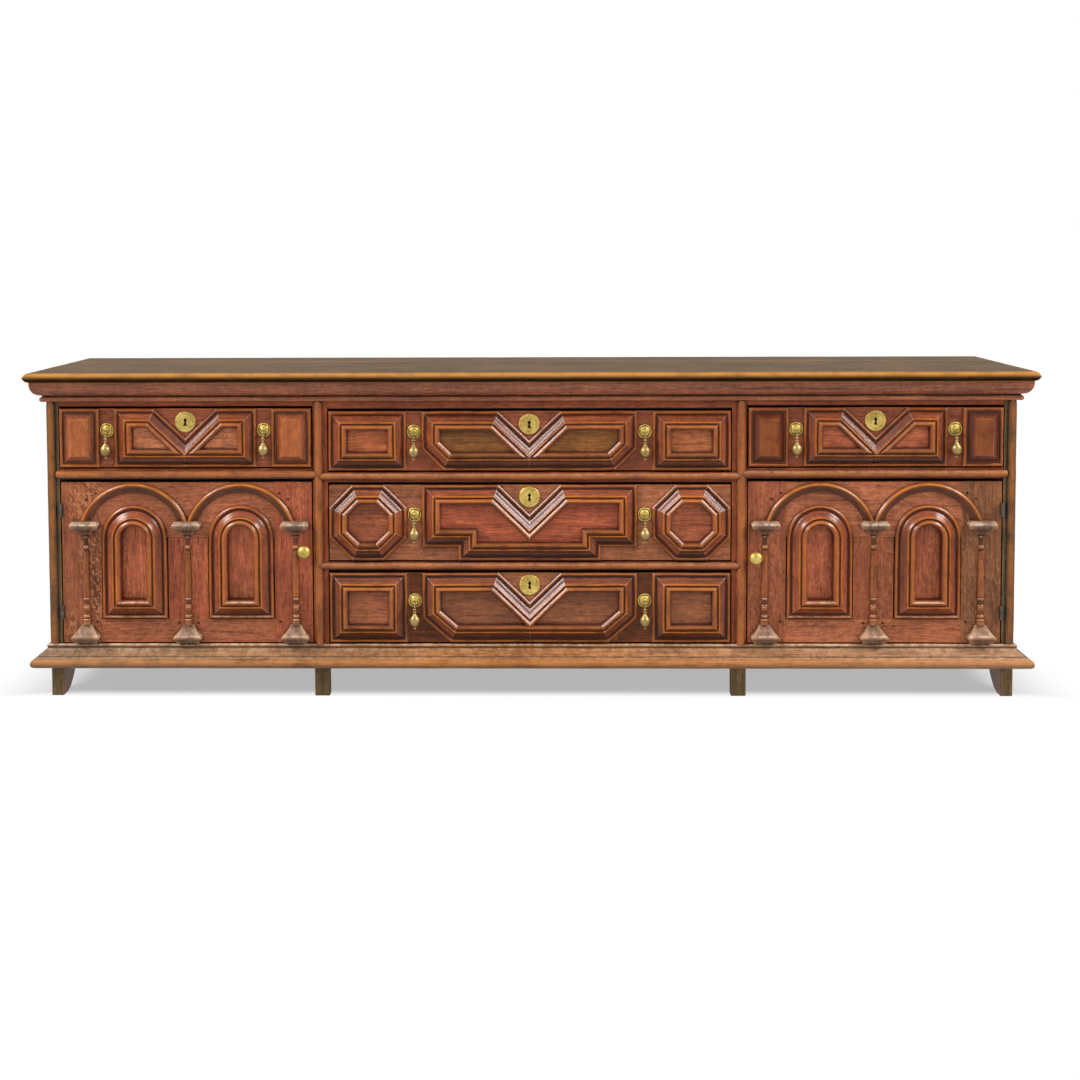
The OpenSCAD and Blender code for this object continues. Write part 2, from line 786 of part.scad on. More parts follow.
// Outlines of the panels on the drawer fronts, from the bottom left corner round to the left
function rectangle(half, h) = [[-half, 0], [half, 0], [half, h], [-half, h]];
function octagon(half, h) = let (c = 2 * half / (2 + sqrt(2))) [
    [c - half, 0], [half - c, 0], [half, c], [half, h - c],
    [half - c, h], [c - half, h], [-half, h - c], [-half, c]
];
v_angle = atan(v_h / v_w);
function v_corners(h) = [[v_w, h], [0, h - v_h], [-v_w, h]];
function v_panel(half, h, c) = c[0] == 0
    ? concat([[-half, 0], [half, 0], [half, h]], v_corners(h), [[-half, h]])
    : concat(
        [[c[0] - half, 0], [half - c[0], 0], [half, c[1]], [half, h]],
        v_corners(h),
        [[-half, h], [-half, c[1]]]
    );
function stepped_panel(half, h) = concat(
    [[step_w - half, 0], [half - step_w, 0], [half - step_w, step_h], [half, step_h], [half, h]],
    v_corners(h),
    [[-half, h], [-half, step_h], [step_w - half, step_h]]
);

// Raised block inside a side drawer's small panel, bevelled on all four sides
module raised_block(half, h) {
    rim = small_rim;
    bevel = 17.5 * small_unit;
    rise = 19 * small_unit;
    foot = 5 * small_unit;
    intersection() {
        translate([0, h - rim, 0]) rotate([90, 0, 0]) linear_extrude(h - 2 * rim) polygon([
            [rim - half, 0], [half - rim, 0], [half - rim, foot], [half - rim - bevel, rise],
            [rim + bevel - half, rise], [rim - half, foot]
        ]);
        translate([-half, 0, 0]) along_x(0, 2 * half) polygon([
            [rim, 0], [h - rim, 0], [h - rim, foot], [h - rim - bevel, rise],
            [rim + bevel, rise], [rim, foot]
        ]);
    }
}

module small_panel(i) {
    half = small_w[i] / 2;
    h = drawer_front_h(i);
    if (i == LEFT || i == RIGHT) {
        ring(rectangle(half, h), small_rim, small_section);
        raised_block(half, h);
    } else {
        outline = i == MIDDLE ? octagon(half, h) : rectangle(half, h);
        ring(outline, drawer_moulding_w, moulding_section(drawer_moulding_w));
    }
}

module large_panel(i) {
    half = drawer_half(i) - small_w[i] - strip_w;
    h = drawer_front_h(i);
    w = drawer_moulding_w;
    section = moulding_section(w);
    outline = i == MIDDLE ? stepped_panel(half, h) : v_panel(half, h, chamfer[i]);
    if (h - v_h < w + w / cos(v_angle))
        merged_ring(outline, w, section, (len(outline) - 1) / 2);
    else
        ring(outline, w, section);
}

module drawer_mouldings(i) {
    color("chocolate") at_drawer(i) on_front(0, 0) {
        large_panel(i);
        both_sides() translate([drawer_half(i) - small_w[i] / 2, 0, 0]) small_panel(i);
    }
}

// Metalwork of a drawer
function drop_x(i) = drawer_half(i) - small_w[i] - strip_w / 2;

module rosette() {
    u = rosette_d / 38;
    rotate([90, 0, 0]) rotate_extrude() polygon(concat(
        [[0, 0], [19 * u, 0], [19 * u, 1.2]],
        arc(16.8 * u, 1.2, 2.2 * u, 2, 0, 180),
        [[14 * u, 1.6], [12.6 * u, 3], [10.6 * u, 4.6], [8.4 * u, 5.6], [7.8 * u, 5]],
        [[7 * u, 5.2], [6.4 * u, 7], [4.8 * u, rosette_h], [0, rosette_h]]
    ));
    // Two lugs with the bar that the drop swings on
    bar = eye_w / 2 + lug_gap + through;
    translate([0, -pivot_out, -pivot_drop]) {
        both_sides() translate([eye_w / 2 + lug_gap, 0, 0]) {
            rotate([0, 90, 0]) cylinder(d = lug_d, h = lug_w);
            translate([0, 0, -lug_neck / 2]) cube([lug_w, pivot_out - lug_root, lug_neck]);
        }
        translate([-bar, 0, 0]) rotate([0, 90, 0]) cylinder(d = pin_d, h = 2 * bar);
    }
}

module escutcheon() {
    r = escutcheon_d / 2;
    difference() {
        rotate([90, 0, 0]) rotate_extrude() polygon([
            [0, 0], [r, 0], [r, 1.2], [r - 1, plate_t - 0.4], [r - 2, plate_t], [0.74 * r, plate_t],
            [0.72 * r, plate_t - 0.5], [0.7 * r, plate_t], [0.44 * r, plate_t],
            [0.42 * r, plate_t - 0.5], [0.4 * r, plate_t], [0, plate_t]
        ]);
        key_hole(4 * plate_t);
    }
    // Heads of its four pins
    for (a = [0, 90, 180, 270]) rotate([0, a, 0]) translate([r - plate_pin_inset, 0.3 - plate_t, 0])
        rotate([90, 0, 0]) cylinder(d1 = 3.6, d2 = 1.6, h = 1.2);
}

module lock_case(i) {
    translate([-lock_size[0] / 2, front_t, -lock_size[2] + key_down[i] - drawer_side_drop - lock_gap])
        cube(lock_size);
}

module drawer_metalwork(i) {
    h = drawer_front_h(i);
    color("goldenrod") at_drawer(i) {
        translate([0, 0, h - key_down[i]]) {
            escutcheon();
            lock_case(i);
        }
        both_sides() translate([drop_x(i), 0, h - plate_down[i]]) rosette();
    }
}

// A pear drop that hangs from its own eye
module drop_body() {
    r = pear_d / 2;
    u = drop_l / 70;
    difference() {
        union() {
            translate([-eye_w / 2, 0, 0]) rotate([0, 90, 0]) cylinder(d = eye_d, h = eye_w);
            translate([0, 0, -drop_l]) rotate_extrude() polygon(concat(
                [[0, 0], [2.6, 0.5 * u], [4, 2.6 * u], [3.9, 4.6 * u], [2.6, 6.6 * u], [2.2, 7.8 * u]],
                arc(0, r + 8 * u, r, r, -74, 50, 9),
                [[5.6, 37 * u], [3.6, 40.5 * u], [2.6, 43 * u]],
                turned(45.5 * u, 6 * u, 5.2, 2.6),
                turned(53.5 * u, 6 * u, 5.6, 2.4),
                [[2.4, 61 * u], [2.4, 67 * u], [0, 67 * u]]
            ));
        }
        translate([-eye_w, 0, 0]) rotate([0, 90, 0]) cylinder(d = pin_d + 2 * pin_clearance, h = 2 * eye_w);
    }
}

module drop(i, side) {
    color("goldenrod") at_drawer(i)
        translate([side * drop_x(i), -pivot_out, drawer_front_h(i) - plate_down[i] - pivot_drop]) drop_body();
}

// Doors are drawn for the right bay and mirrored for the left
door_half = side_bay_w / 2 - gap;
door_h = door_open_h - gap - door_top_gap;
spring_h = door_h - door_head_h;
capital_z = spring_h + capital_rise;
upper_hinge_z = door_h - upper_hinge_drop;
outer_opening = door_half - hinge_stile_w;
inner_opening = door_half - lock_stile_w;
panel_half = (outer_opening + inner_opening - door_muntin_w) / 4;
panel_x = [outer_opening - panel_half, panel_half - inner_opening];
panel_r = panel_half - moulding_gap;
middle_x = (panel_x[0] + panel_x[1]) / 2;

// The big arches rise from the capitals to just below the door's top edge and meet over the middle capital
arch_foot_z = capital_z + capital_h + column_lift;
arch_span = (panel_x[0] - panel_x[1]) / 2 - 2 * seam;
arch_rise = door_h - arch_drop - arch_foot_z;
arch_r = (arch_span * arch_span + arch_rise * arch_rise) / (2 * arch_rise);
arch_z = door_h - arch_drop - arch_r;

module at_door(side) {
    placed() mirror([side < 0 ? 1 : 0, 0, 0]) translate([side_x, 0, floor_z + gap]) children();
}

module door_panel_blanks() {
    for (x = panel_x)
        board(x - panel_half - groove_d, x + panel_half + groove_d, panel_recess, panel_recess + panel_t,
            door_bottom_rail_h - groove_d, spring_h + panel_r + groove_d);
}

// Pegs through the joints of a door, clear of its columns and arches
door_peg_places = [
    for (x = [outer_opening + door_peg_in, -inner_opening - door_peg_in], i = [0, 1])
        [x + i * sign(x) * door_peg_step[0], door_h - door_peg_top - i * door_peg_step[1]],
    for (x = [outer_opening + door_peg_in, -inner_opening - door_peg_in]) [x, door_peg_foot],
    for (side = [-1, 1]) [middle_x + side * muntin_peg[0], muntin_peg[1]]
];
module door_pegs(extra) {
    for (p = door_peg_places) translate([p[0], door_peg_l, p[1]])
        rotate([90, 0, 0]) cylinder(d = door_peg_d, h = door_peg_l + extra);
}

module door_frame(side) {
    color("sienna") at_door(side) {
        difference() {
            union() {
                board(outer_opening, door_half, 0, door_t, 0, door_h);
                board(-door_half, -inner_opening, 0, door_t, 0, door_h);
            }
            door_panel_blanks();
            door_pegs(through);
        }
        difference() {
            board(seam - inner_opening, outer_opening - seam, 0, door_t, spring_h, door_h);
            for (x = panel_x) translate([x, door_t + through, spring_h])
                rotate([90, 0, 0]) cylinder(r = panel_r, h = door_t + 2 * through);
            door_panel_blanks();
            door_pegs(through);
        }
        difference() {
            union() {
                board(seam - inner_opening, outer_opening - seam, 0, door_t, 0, door_bottom_rail_h);
                board(middle_x - door_muntin_w / 2, middle_x + door_muntin_w / 2, 0, door_t,
                    door_bottom_rail_h + seam, spring_h - seam);
            }
            door_panel_blanks();
            door_pegs(through);
        }
        door_pegs(peg_stand);
    }
}

module door_panels(side) { color("chocolate") at_door(side) door_panel_blanks(); }

// Arch-headed moulding around a panel: a half ring over two legs and a mitred foot
module panel_moulding() {
    w = door_moulding_w;
    a = panel_r;
    foot = door_bottom_rail_h + moulding_gap;
    section = moulding_section(w, -panel_recess);
    strip(section, [-a, foot], [a, foot], [[-a, foot], [a, foot], [a - w, foot + w], [w - a, foot + w]]);
    strip(section, [a, foot], [a, spring_h],
        [[a, foot], [a, spring_h], [a - w, spring_h], [a - w, foot + w]]);
    strip(section, [-a, spring_h], [-a, foot],
        [[-a, spring_h], [-a, foot], [w - a, foot + w], [w - a, spring_h]]);
    translate([0, spring_h, 0]) rotate_extrude(angle = 180)
        polygon([for (p = section) [a - p[0], p[1]]]);
}

// Big half-round arch: a round outer edge and a hollow that falls away to the inner edge
arch_section = let (u = arch_w / 24) concat(
    [[arch_r, 0], [arch_r, 5 * u]],
    arc(arch_r - 5 * u, 5 * u, 5 * u, 7 * u, 0, 120, 6),
    [[arch_r - 11 * u, 8.4 * u], [arch_r - 15.5 * u, 6 * u], [arch_r - 20 * u, 4.6 * u]],
    [[arch_r - 21 * u, 5.4 * u], [arch_r - arch_w, 5 * u], [arch_r - arch_w, 0]]
);
module big_arch() {
    intersection() {
        translate([0, arch_z, 0]) rotate_extrude(angle = 180) polygon(arch_section);
        translate([-arch_r - through, arch_foot_z, -deep]) cube([2 * (arch_r + through), arch_r, tall]);
    }
}

module door_mouldings(side) {
    color("chocolate") at_door(side) on_front(0, 0) for (x = panel_x) translate([x, 0, 0]) {
        panel_moulding();
        big_arch();
    }
}

// A block with the same mitred section on its front and both ends
module mitred_block(steps, depth_less) {
    top = len(steps) - 1;
    reach_x = max([for (s = steps) s[1]]) + through;
    intersection() {
        rotate([90, 0, 0]) linear_extrude(reach_x) polygon(concat(
            [for (s = steps) [s[1], s[0]]],
            [for (i = [top:-1:0]) [-steps[i][1], steps[i][0]]]
        ));
        mirror([0, 1, 0]) along_x(-reach_x, reach_x) polygon(concat(
            [[0, steps[0][0]]], [for (s = steps) [s[1] - depth_less, s[0]]], [[0, steps[top][0]]]
        ));
    }
}

// How much less a block stands out than its half width
block_back = 9;
capital_steps = let (h = capital_w / 2) [
    [0, h - 22], [6, h - 19.5], [10, h - 15.5], [14, h - 11], [15.5, h - 5], [18, h - 2.5],
    [24, h], [29, h - 0.5], [34, h - 3], [capital_h, h - 6]
];
plinth_steps = let (h = plinth_w / 2) [
    [0, h - 8], [6, h - 7], [9.5, h - 3], [12, h], [16, h], [18, h - 3], [27, h - 10.5],
    [35, h - 17], [42, h - 21.5], [plinth_h, h - 23.5]
];

// Half-turned column between the plinth and the capital
shaft_l = capital_z - plinth_h - 2 * seam;
function column_profile() = let (u = shaft_l / 242) concat(
    [[0, 0], [12.5, 0], [11.5, 6 * u], [11, 10 * u]],
    turned(11.5 * u, 4 * u, 12.6, 10.5, 4),
    turned(16.5 * u, 11 * u, 11.6, 8),
    [[7.4, 29 * u], [7.4, 33 * u]],
    turned(34.5 * u, 21 * u, 11.4, 6.2),
    [[7.2, 57 * u], [7.2, 64 * u]],
    turned(65.5 * u, 8 * u, 10.6, 8),
    [[9.2, 75 * u], [9.9, 80 * u], [9.8, 110 * u], [7.6, 196 * u]],
    [[6.2, 198 * u], [6.2, 202 * u]],
    turned(203 * u, 11 * u, 9.8, 6.4),
    [[5.6, 216 * u], [5.6, 231 * u]],
    turned(232 * u, 7 * u, 7.8, 5.8),
    [[6.4, shaft_l], [0, shaft_l]]
);

module column() {
    mitred_block(plinth_steps, block_back);
    translate([0, 0, plinth_h + seam])
        rotate([0, 0, 180]) rotate_extrude(angle = 180) polygon(column_profile());
    translate([0, 0, capital_z]) mitred_block(capital_steps, block_back);
}

module door_columns(side) {
    outer = door_half - (side < 0 ? left_column_inset : right_column_inset);
    color("rosybrown") at_door(side) for (x = [outer, middle_x, inner_column_inset - door_half])
        translate([x, 0, column_lift]) column();
}

module door_knob(side) {
    r = knob_d / 2;
    z = spring_h - (side < 0 ? left_knob_drop : right_knob_drop);
    color("goldenrod") at_door(side) translate([knob_inset - door_half, 0, z])
        rotate([90, 0, 0]) rotate_extrude() polygon(concat(
            [[0, 0], [10, 0], [10, 1.5], [8.5, 3], [6, 4], [5.2, 7], [5.6, 11]],
            arc(0, 24, r, 13, -68, 90, 12)
        ));
}

// Hinges: leaves in the gap at the door's edge, three knuckles on one pin in front of it
hinge_x = side_bay_w / 2 - gap / 2;
knuckle_y = -knuckle_d / 2 - knuckle_out;
module at_hinges(side) {
    at_door(side) for (z = [lower_hinge_z, upper_hinge_z]) translate([hinge_x, knuckle_y, z]) children();
}
third = hinge_h / 3;

module knuckle(z0, z1, x0, x1) {
    translate([0, 0, z0]) cylinder(d = knuckle_d, h = z1 - z0);
    board(x0, x1, 0, through - knuckle_y, z0, z1);
}

module hinge_plate() {
    x0 = leaf_gap / 2;
    x1 = gap / 2;
    knuckle(-hinge_h / 2, -third / 2 - knuckle_gap / 2, x0, x1);
    knuckle(third / 2 + knuckle_gap / 2, hinge_h / 2, x0, x1);
    translate([0, 0, -hinge_h / 2]) cylinder(d = hinge_pin_d, h = hinge_h);
    board(x0, x1, -knuckle_y, leaf_d - knuckle_y, -hinge_h / 2, hinge_h / 2);
}

module hinge_plates() {
    color("dimgray") for (side = [-1, 1]) at_hinges(side) hinge_plate();
}

module door_hinges(side) {
    x0 = -gap / 2;
    x1 = -leaf_gap / 2;
    color("dimgray") at_hinges(side) difference() {
        union() {
            knuckle(knuckle_gap / 2 - third / 2, third / 2 - knuckle_gap / 2, x0, x1);
            board(x0, x1, -knuckle_y, leaf_d - knuckle_y, -hinge_h / 2, hinge_h / 2);
        }
        translate([0, 0, -hinge_h]) cylinder(d = hinge_pin_d + 2 * pin_clearance, h = 2 * hinge_h);
    }
}

top_front_plank();
top_back_plank();
cornice_moulding();
base_moulding();
corner_stiles();
back_stiles();
muntins();
front_rails();
bead_mouldings();
side_frames();
side_panels();
back_frame();
back_panels();
partitions();
floor_boards();
drawer_runners();
carcass_pegs();
hinge_plates();
drawer_front(LEFT);  // left_drawer_front
drawer_box(LEFT);  // left_drawer_box
drawer_mouldings(LEFT);  // left_drawer_mouldings
drawer_metalwork(LEFT);  // left_drawer_metalwork
drawer_front(RIGHT);  // right_drawer_front
drawer_box(RIGHT);  // right_drawer_box
drawer_mouldings(RIGHT);  // right_drawer_mouldings
drawer_metalwork(RIGHT);  // right_drawer_metalwork
drawer_front(UPPER);  // upper_drawer_front
drawer_box(UPPER);  // upper_drawer_box
drawer_mouldings(UPPER);  // upper_drawer_mouldings
drawer_metalwork(UPPER);  // upper_drawer_metalwork
drawer_front(MIDDLE);  // middle_drawer_front
drawer_box(MIDDLE);  // middle_drawer_box
drawer_mouldings(MIDDLE);  // middle_drawer_mouldings
drawer_metalwork(MIDDLE);  // middle_drawer_metalwork
drawer_front(LOW);  // low_drawer_front
drawer_box(LOW);  // low_drawer_box
drawer_mouldings(LOW);  // low_drawer_mouldings
drawer_metalwork(LOW);  // low_drawer_metalwork
drop(LEFT, -1);  // left_drawer_drop_a
drop(LEFT, 1);  // left_drawer_drop_b
drop(RIGHT, -1);  // right_drawer_drop_a
drop(RIGHT, 1);  // right_drawer_drop_b
drop(UPPER, -1);  // upper_drawer_drop_a
drop(UPPER, 1);  // upper_drawer_drop_b
drop(MIDDLE, -1);  // middle_drawer_drop_a
drop(MIDDLE, 1);  // middle_drawer_drop_b
drop(LOW, -1);  // low_drawer_drop_a
drop(LOW, 1);  // low_drawer_drop_b
door_frame(-1);  // left_door_frame
door_panels(-1);  // left_door_panels
door_mouldings(-1);  // left_door_mouldings
door_columns(-1);  // left_door_columns
door_knob(-1);  // left_door_knob
door_hinges(-1);  // left_door_hinges
door_frame(1);  // right_door_frame
door_panels(1);  // right_door_panels
door_mouldings(1);  // right_door_mouldings
door_columns(1);  // right_door_columns
door_knob(1);  // right_door_knob
door_hinges(1);  // right_door_hinges
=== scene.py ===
"""Looks and photograph camera of a joined oak dresser base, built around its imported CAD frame.

Lengths are in millimetres until a mesh is made: X right, Z up, and Y counted back from the
carcass's front plane.
"""

import math

import bpy
import numpy as np
from mathutils import Matrix, Vector


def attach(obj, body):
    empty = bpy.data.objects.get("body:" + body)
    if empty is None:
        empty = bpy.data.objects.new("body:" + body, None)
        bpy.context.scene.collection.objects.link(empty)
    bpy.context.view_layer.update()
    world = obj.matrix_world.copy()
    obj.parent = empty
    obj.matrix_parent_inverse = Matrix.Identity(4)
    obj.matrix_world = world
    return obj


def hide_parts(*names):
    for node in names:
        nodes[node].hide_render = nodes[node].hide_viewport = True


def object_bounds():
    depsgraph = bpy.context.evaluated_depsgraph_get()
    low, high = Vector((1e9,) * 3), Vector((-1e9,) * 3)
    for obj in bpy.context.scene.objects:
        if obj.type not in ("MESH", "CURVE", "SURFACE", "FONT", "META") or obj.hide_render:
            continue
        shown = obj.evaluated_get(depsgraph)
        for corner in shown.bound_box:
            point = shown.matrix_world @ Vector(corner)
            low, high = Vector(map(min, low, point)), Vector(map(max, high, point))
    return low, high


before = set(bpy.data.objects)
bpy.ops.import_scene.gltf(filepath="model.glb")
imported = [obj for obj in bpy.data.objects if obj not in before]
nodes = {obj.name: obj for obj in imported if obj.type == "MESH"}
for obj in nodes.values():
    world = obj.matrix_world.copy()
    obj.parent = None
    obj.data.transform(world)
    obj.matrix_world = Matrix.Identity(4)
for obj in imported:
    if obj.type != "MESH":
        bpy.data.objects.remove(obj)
cad_low, cad_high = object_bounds()

# Sizes shared with the part's source
FRONT_Y = -240.0
MUNTIN_X, MUNTIN_W = 537.0, 40.0
STILE_X, HALF_W = 1254.0, 1287.0
STILE_D, CARCASS_D, CARCASS_H = 105.0, 520.0, 848.0
FRAME_T, SIDE_RAIL_T, BACK_T, PANEL_T, GROOVE_D = 28.0, 30.0, 25.0, 10.0, 8.0
BASE_Z, FLOOR_Z, BASE_H = 83.0, 142.0, 59.0
BACK_Y = CARCASS_D - BACK_T
PARTITION_X, PARTITION_T = 547.0, 20.0
SIDE_X = 915.5
TOP_T, FRONT_OVER, SIDE_OVER, BACK_OVER, FRONT_PLANK_D = 24.0, 50.0, 48.0, 10.0, 420.0
CORNICE_H, CORNICE_OUT, BASE_OUT = 54.0, 35.0, 44.0
BOTTOM_RAIL = (BASE_Z + 7, FLOOR_Z)
SIDE_RAILS = [BOTTOM_RAIL, (585.0, 614.0), (780.0, CARCASS_H)]
CENTRE_RAILS = [BOTTOM_RAIL, (339.0, 363.0), (575.0, 604.0), (772.0, CARCASS_H)]
BEAD_X, MUNTIN_BEAD_W = MUNTIN_X + 24.5, 25.0
MOULDING_W, DOOR_MOULDING_W = 50.0, 52.0
STRIP_W, FRONT_T, BOX_T, DRAWER_D = 39.5, 20.0, 12.0, 470.0
V_W, V_H = 82.0, 79.0
V_ANGLE = math.atan(V_H / V_W)

# Each drawer: centre x, foot z, half width, height, small panels' width, cut corner's width and height
DRAWERS = {
    "left": (-SIDE_X, 618.0, 335.5, 157.0, 106.0, None),
    "right": (SIDE_X, 618.0, 335.5, 157.0, 106.0, None),
    "upper": (0.0, 608.0, 534.0, 159.0, 208.0, (58.0, 58.0)),
    "middle": (0.0, 367.0, 534.0, 203.0, 208.0, None),
    "low": (0.0, 146.0, 534.0, 188.0, 208.0, (76.0, 66.0)),
}

# How far the middles of each escutcheon and of its drops' plates lie below the top edge of their drawer
PLATE_DOWN = {"left": 57.5, "right": 57.5, "upper": 55.0, "middle": 80.0, "low": 75.0}
PIVOT_OUT, PIVOT_DROP, DROP_L = 17.0, 5.0, 70.0
KEY_DOWN = {"left": 36.0, "right": 36.0, "upper": 35.5, "middle": 33.0, "low": 33.5}

# Colour of the oak of each kind of board, and how much silver figure it shows. The darker copies of the
# moulding colour, for the low drawer, for bottom lengths and for slanting lengths, are painted shade; the
# drawer and door fields, which lie in shade in their recesses, are written lighter as painted light.
LOOKS = {
    "top": (0.082, 0.045, 0.017, 0.0),
    "foot": (0.176, 0.114, 0.047, 0.0),
    "frame": (0.330, 0.076, 0.026, 0.0),
    "stile": (0.076, 0.066, 0.034, 0.0),
    "back": (0.200, 0.105, 0.050, 0.0),
    "inside": (0.300, 0.185, 0.105, 0.0),
    "cornice": (0.349, 0.114, 0.054, 0.0),
    "base_left": (0.200, 0.110, 0.055, 0.0),
    "base_right": (0.305, 0.152, 0.074, 0.0),
    "base": (0.273, 0.093, 0.018, 0.0),
    "bead": (0.215, 0.058, 0.022, 0.0),
    "stile_bead": (0.067, 0.030, 0.011, 0.0),
    "moulding": (0.235, 0.054, 0.018, 0.0),
    "low_moulding": (0.170, 0.044, 0.018, 0.0),
    "under": (0.115, 0.028, 0.011, 0.0),
    "slanting": (0.165, 0.041, 0.018, 0.0),
    "left_drawer": (0.729, 0.250, 0.110, 0.2),
    "right_drawer": (0.716, 0.186, 0.082, 0.2),
    "upper_drawer": (0.340, 0.131, 0.033, 0.1),
    "middle_drawer": (0.526, 0.124, 0.055, 0.1),
    "low_drawer": (0.301, 0.104, 0.046, 0.1),
    "left_small_a": (0.370, 0.110, 0.048, 0.2),
    "left_small_b": (0.370, 0.110, 0.048, 0.2),
    "left_strip": (0.270, 0.072, 0.032, 0.0),
    "right_small_a": (0.320, 0.092, 0.040, 0.2),
    "right_small_b": (0.320, 0.092, 0.040, 0.2),
    "right_strip": (0.270, 0.070, 0.031, 0.0),
    "upper_small_a": (0.556, 0.154, 0.055, 0.4),
    "upper_small_b": (0.746, 0.233, 0.084, 0.8),
    "upper_strip": (0.270, 0.070, 0.031, 0.0),
    "middle_small_a": (0.419, 0.120, 0.053, 0.2),
    "middle_small_b": (0.499, 0.136, 0.060, 0.1),
    "middle_strip": (0.332, 0.112, 0.049, 0.0),
    "low_small_a": (0.478, 0.149, 0.066, 0.1),
    "low_small_b": (0.408, 0.140, 0.062, 0.1),
    "low_strip": (0.116, 0.031, 0.009, 0.0),
    "left_block": (0.321, 0.078, 0.028, 0.3),
    "right_block": (0.104, 0.012, 0.005, 0.3),
    "left_door_stile": (0.311, 0.096, 0.042, 1.0),
    "left_door_muntin": (0.410, 0.102, 0.045, 0.3),
    "left_door_rail": (0.335, 0.102, 0.045, 0.2),
    "left_door_panel": (0.593, 0.163, 0.072, 0.4),
    "right_door_stile": (0.250, 0.096, 0.042, 0.4),
    "right_door_muntin": (0.334, 0.095, 0.042, 0.4),
    "right_door_rail": (0.370, 0.115, 0.051, 0.3),
    "right_door_panel": (0.568, 0.155, 0.068, 0.3),
    "pillar": (0.160, 0.070, 0.036, 0.0),
    "shaft": (0.290, 0.084, 0.022, 0.0),
    "arch": (0.200, 0.052, 0.014, 0.0),
    "peg": (0.100, 0.030, 0.012, 0.0),
}

rng = np.random.default_rng(1683)
UNITS = np.eye(3)
X, Y, Z = UNITS

# Columns of the marks that each point carries for its material. The dirt column also carries painted shade,
# which turns to black painted shade above the level set next; the dust column also carries painted highlights
GRAIN, HUE = slice(0, 3), slice(3, 6)
WEAR, DIRT_AND_SHADE, DUST_AND_HIGHLIGHT, RAYS = 6, 7, 8, 9
BLACK_SHADE_FROM, BLACK_SHADE = 1.02, 1.1
FOOT_SHADE_H = 2.4  # how high the dirt and painted shade beside a moulding's foot reach

# How far apart boards are cut from the grain, and how much their colours vary
APART, BOARD_TONE, ZONE_TONE = (900, 300, 300), (0.94, 1.06), (0.95, 1.05)
SHARP_TURN = 48  # degrees from which an edge is shaded sharp
MARGIN = 2e-5  # metres by which every point stays inside the CAD's box


def arc(cx, cy, rx, ry, start, end, steps=9):
    a = np.radians(np.linspace(start, end, steps + 1))
    return [(cx + rx * math.cos(t), cy + ry * math.sin(t)) for t in a]


def ramp(x, zero, one):
    """Rises evenly from 0 at zero to 1 at one."""
    return np.clip((x - zero) / (one - zero), 0, 1)


def near(x, at, reach):
    """1 at one place, falling to 0 at reach from it."""
    return np.clip(1 - np.abs(x - at) / reach, 0, 1)


def hue(look):
    return np.array(LOOKS[look][:3])


def both(make):
    for side in (-1, 1):
        make(side)


# Meshes

# Pace and height of each wave of the unevenness
WAVES = ((0.0264, 0.20), (0.0648, 0.10), (0.1464, 0.05))
SKEW = np.array([[1.0, 0.31, 0.17], [0.23, 0.9, 0.41], [0.37, 0.29, 1.1]])


def wobble(p):
    """Slight unevenness of old hand-worked oak, the same for pieces that touch."""
    out = np.zeros_like(p)
    for pace, height in WAVES:
        a = p @ SKEW * pace
        out += height * np.sin(a[:, [1, 2, 0]] + 1.7 * np.cos(a[:, [2, 0, 1]]))
    return out


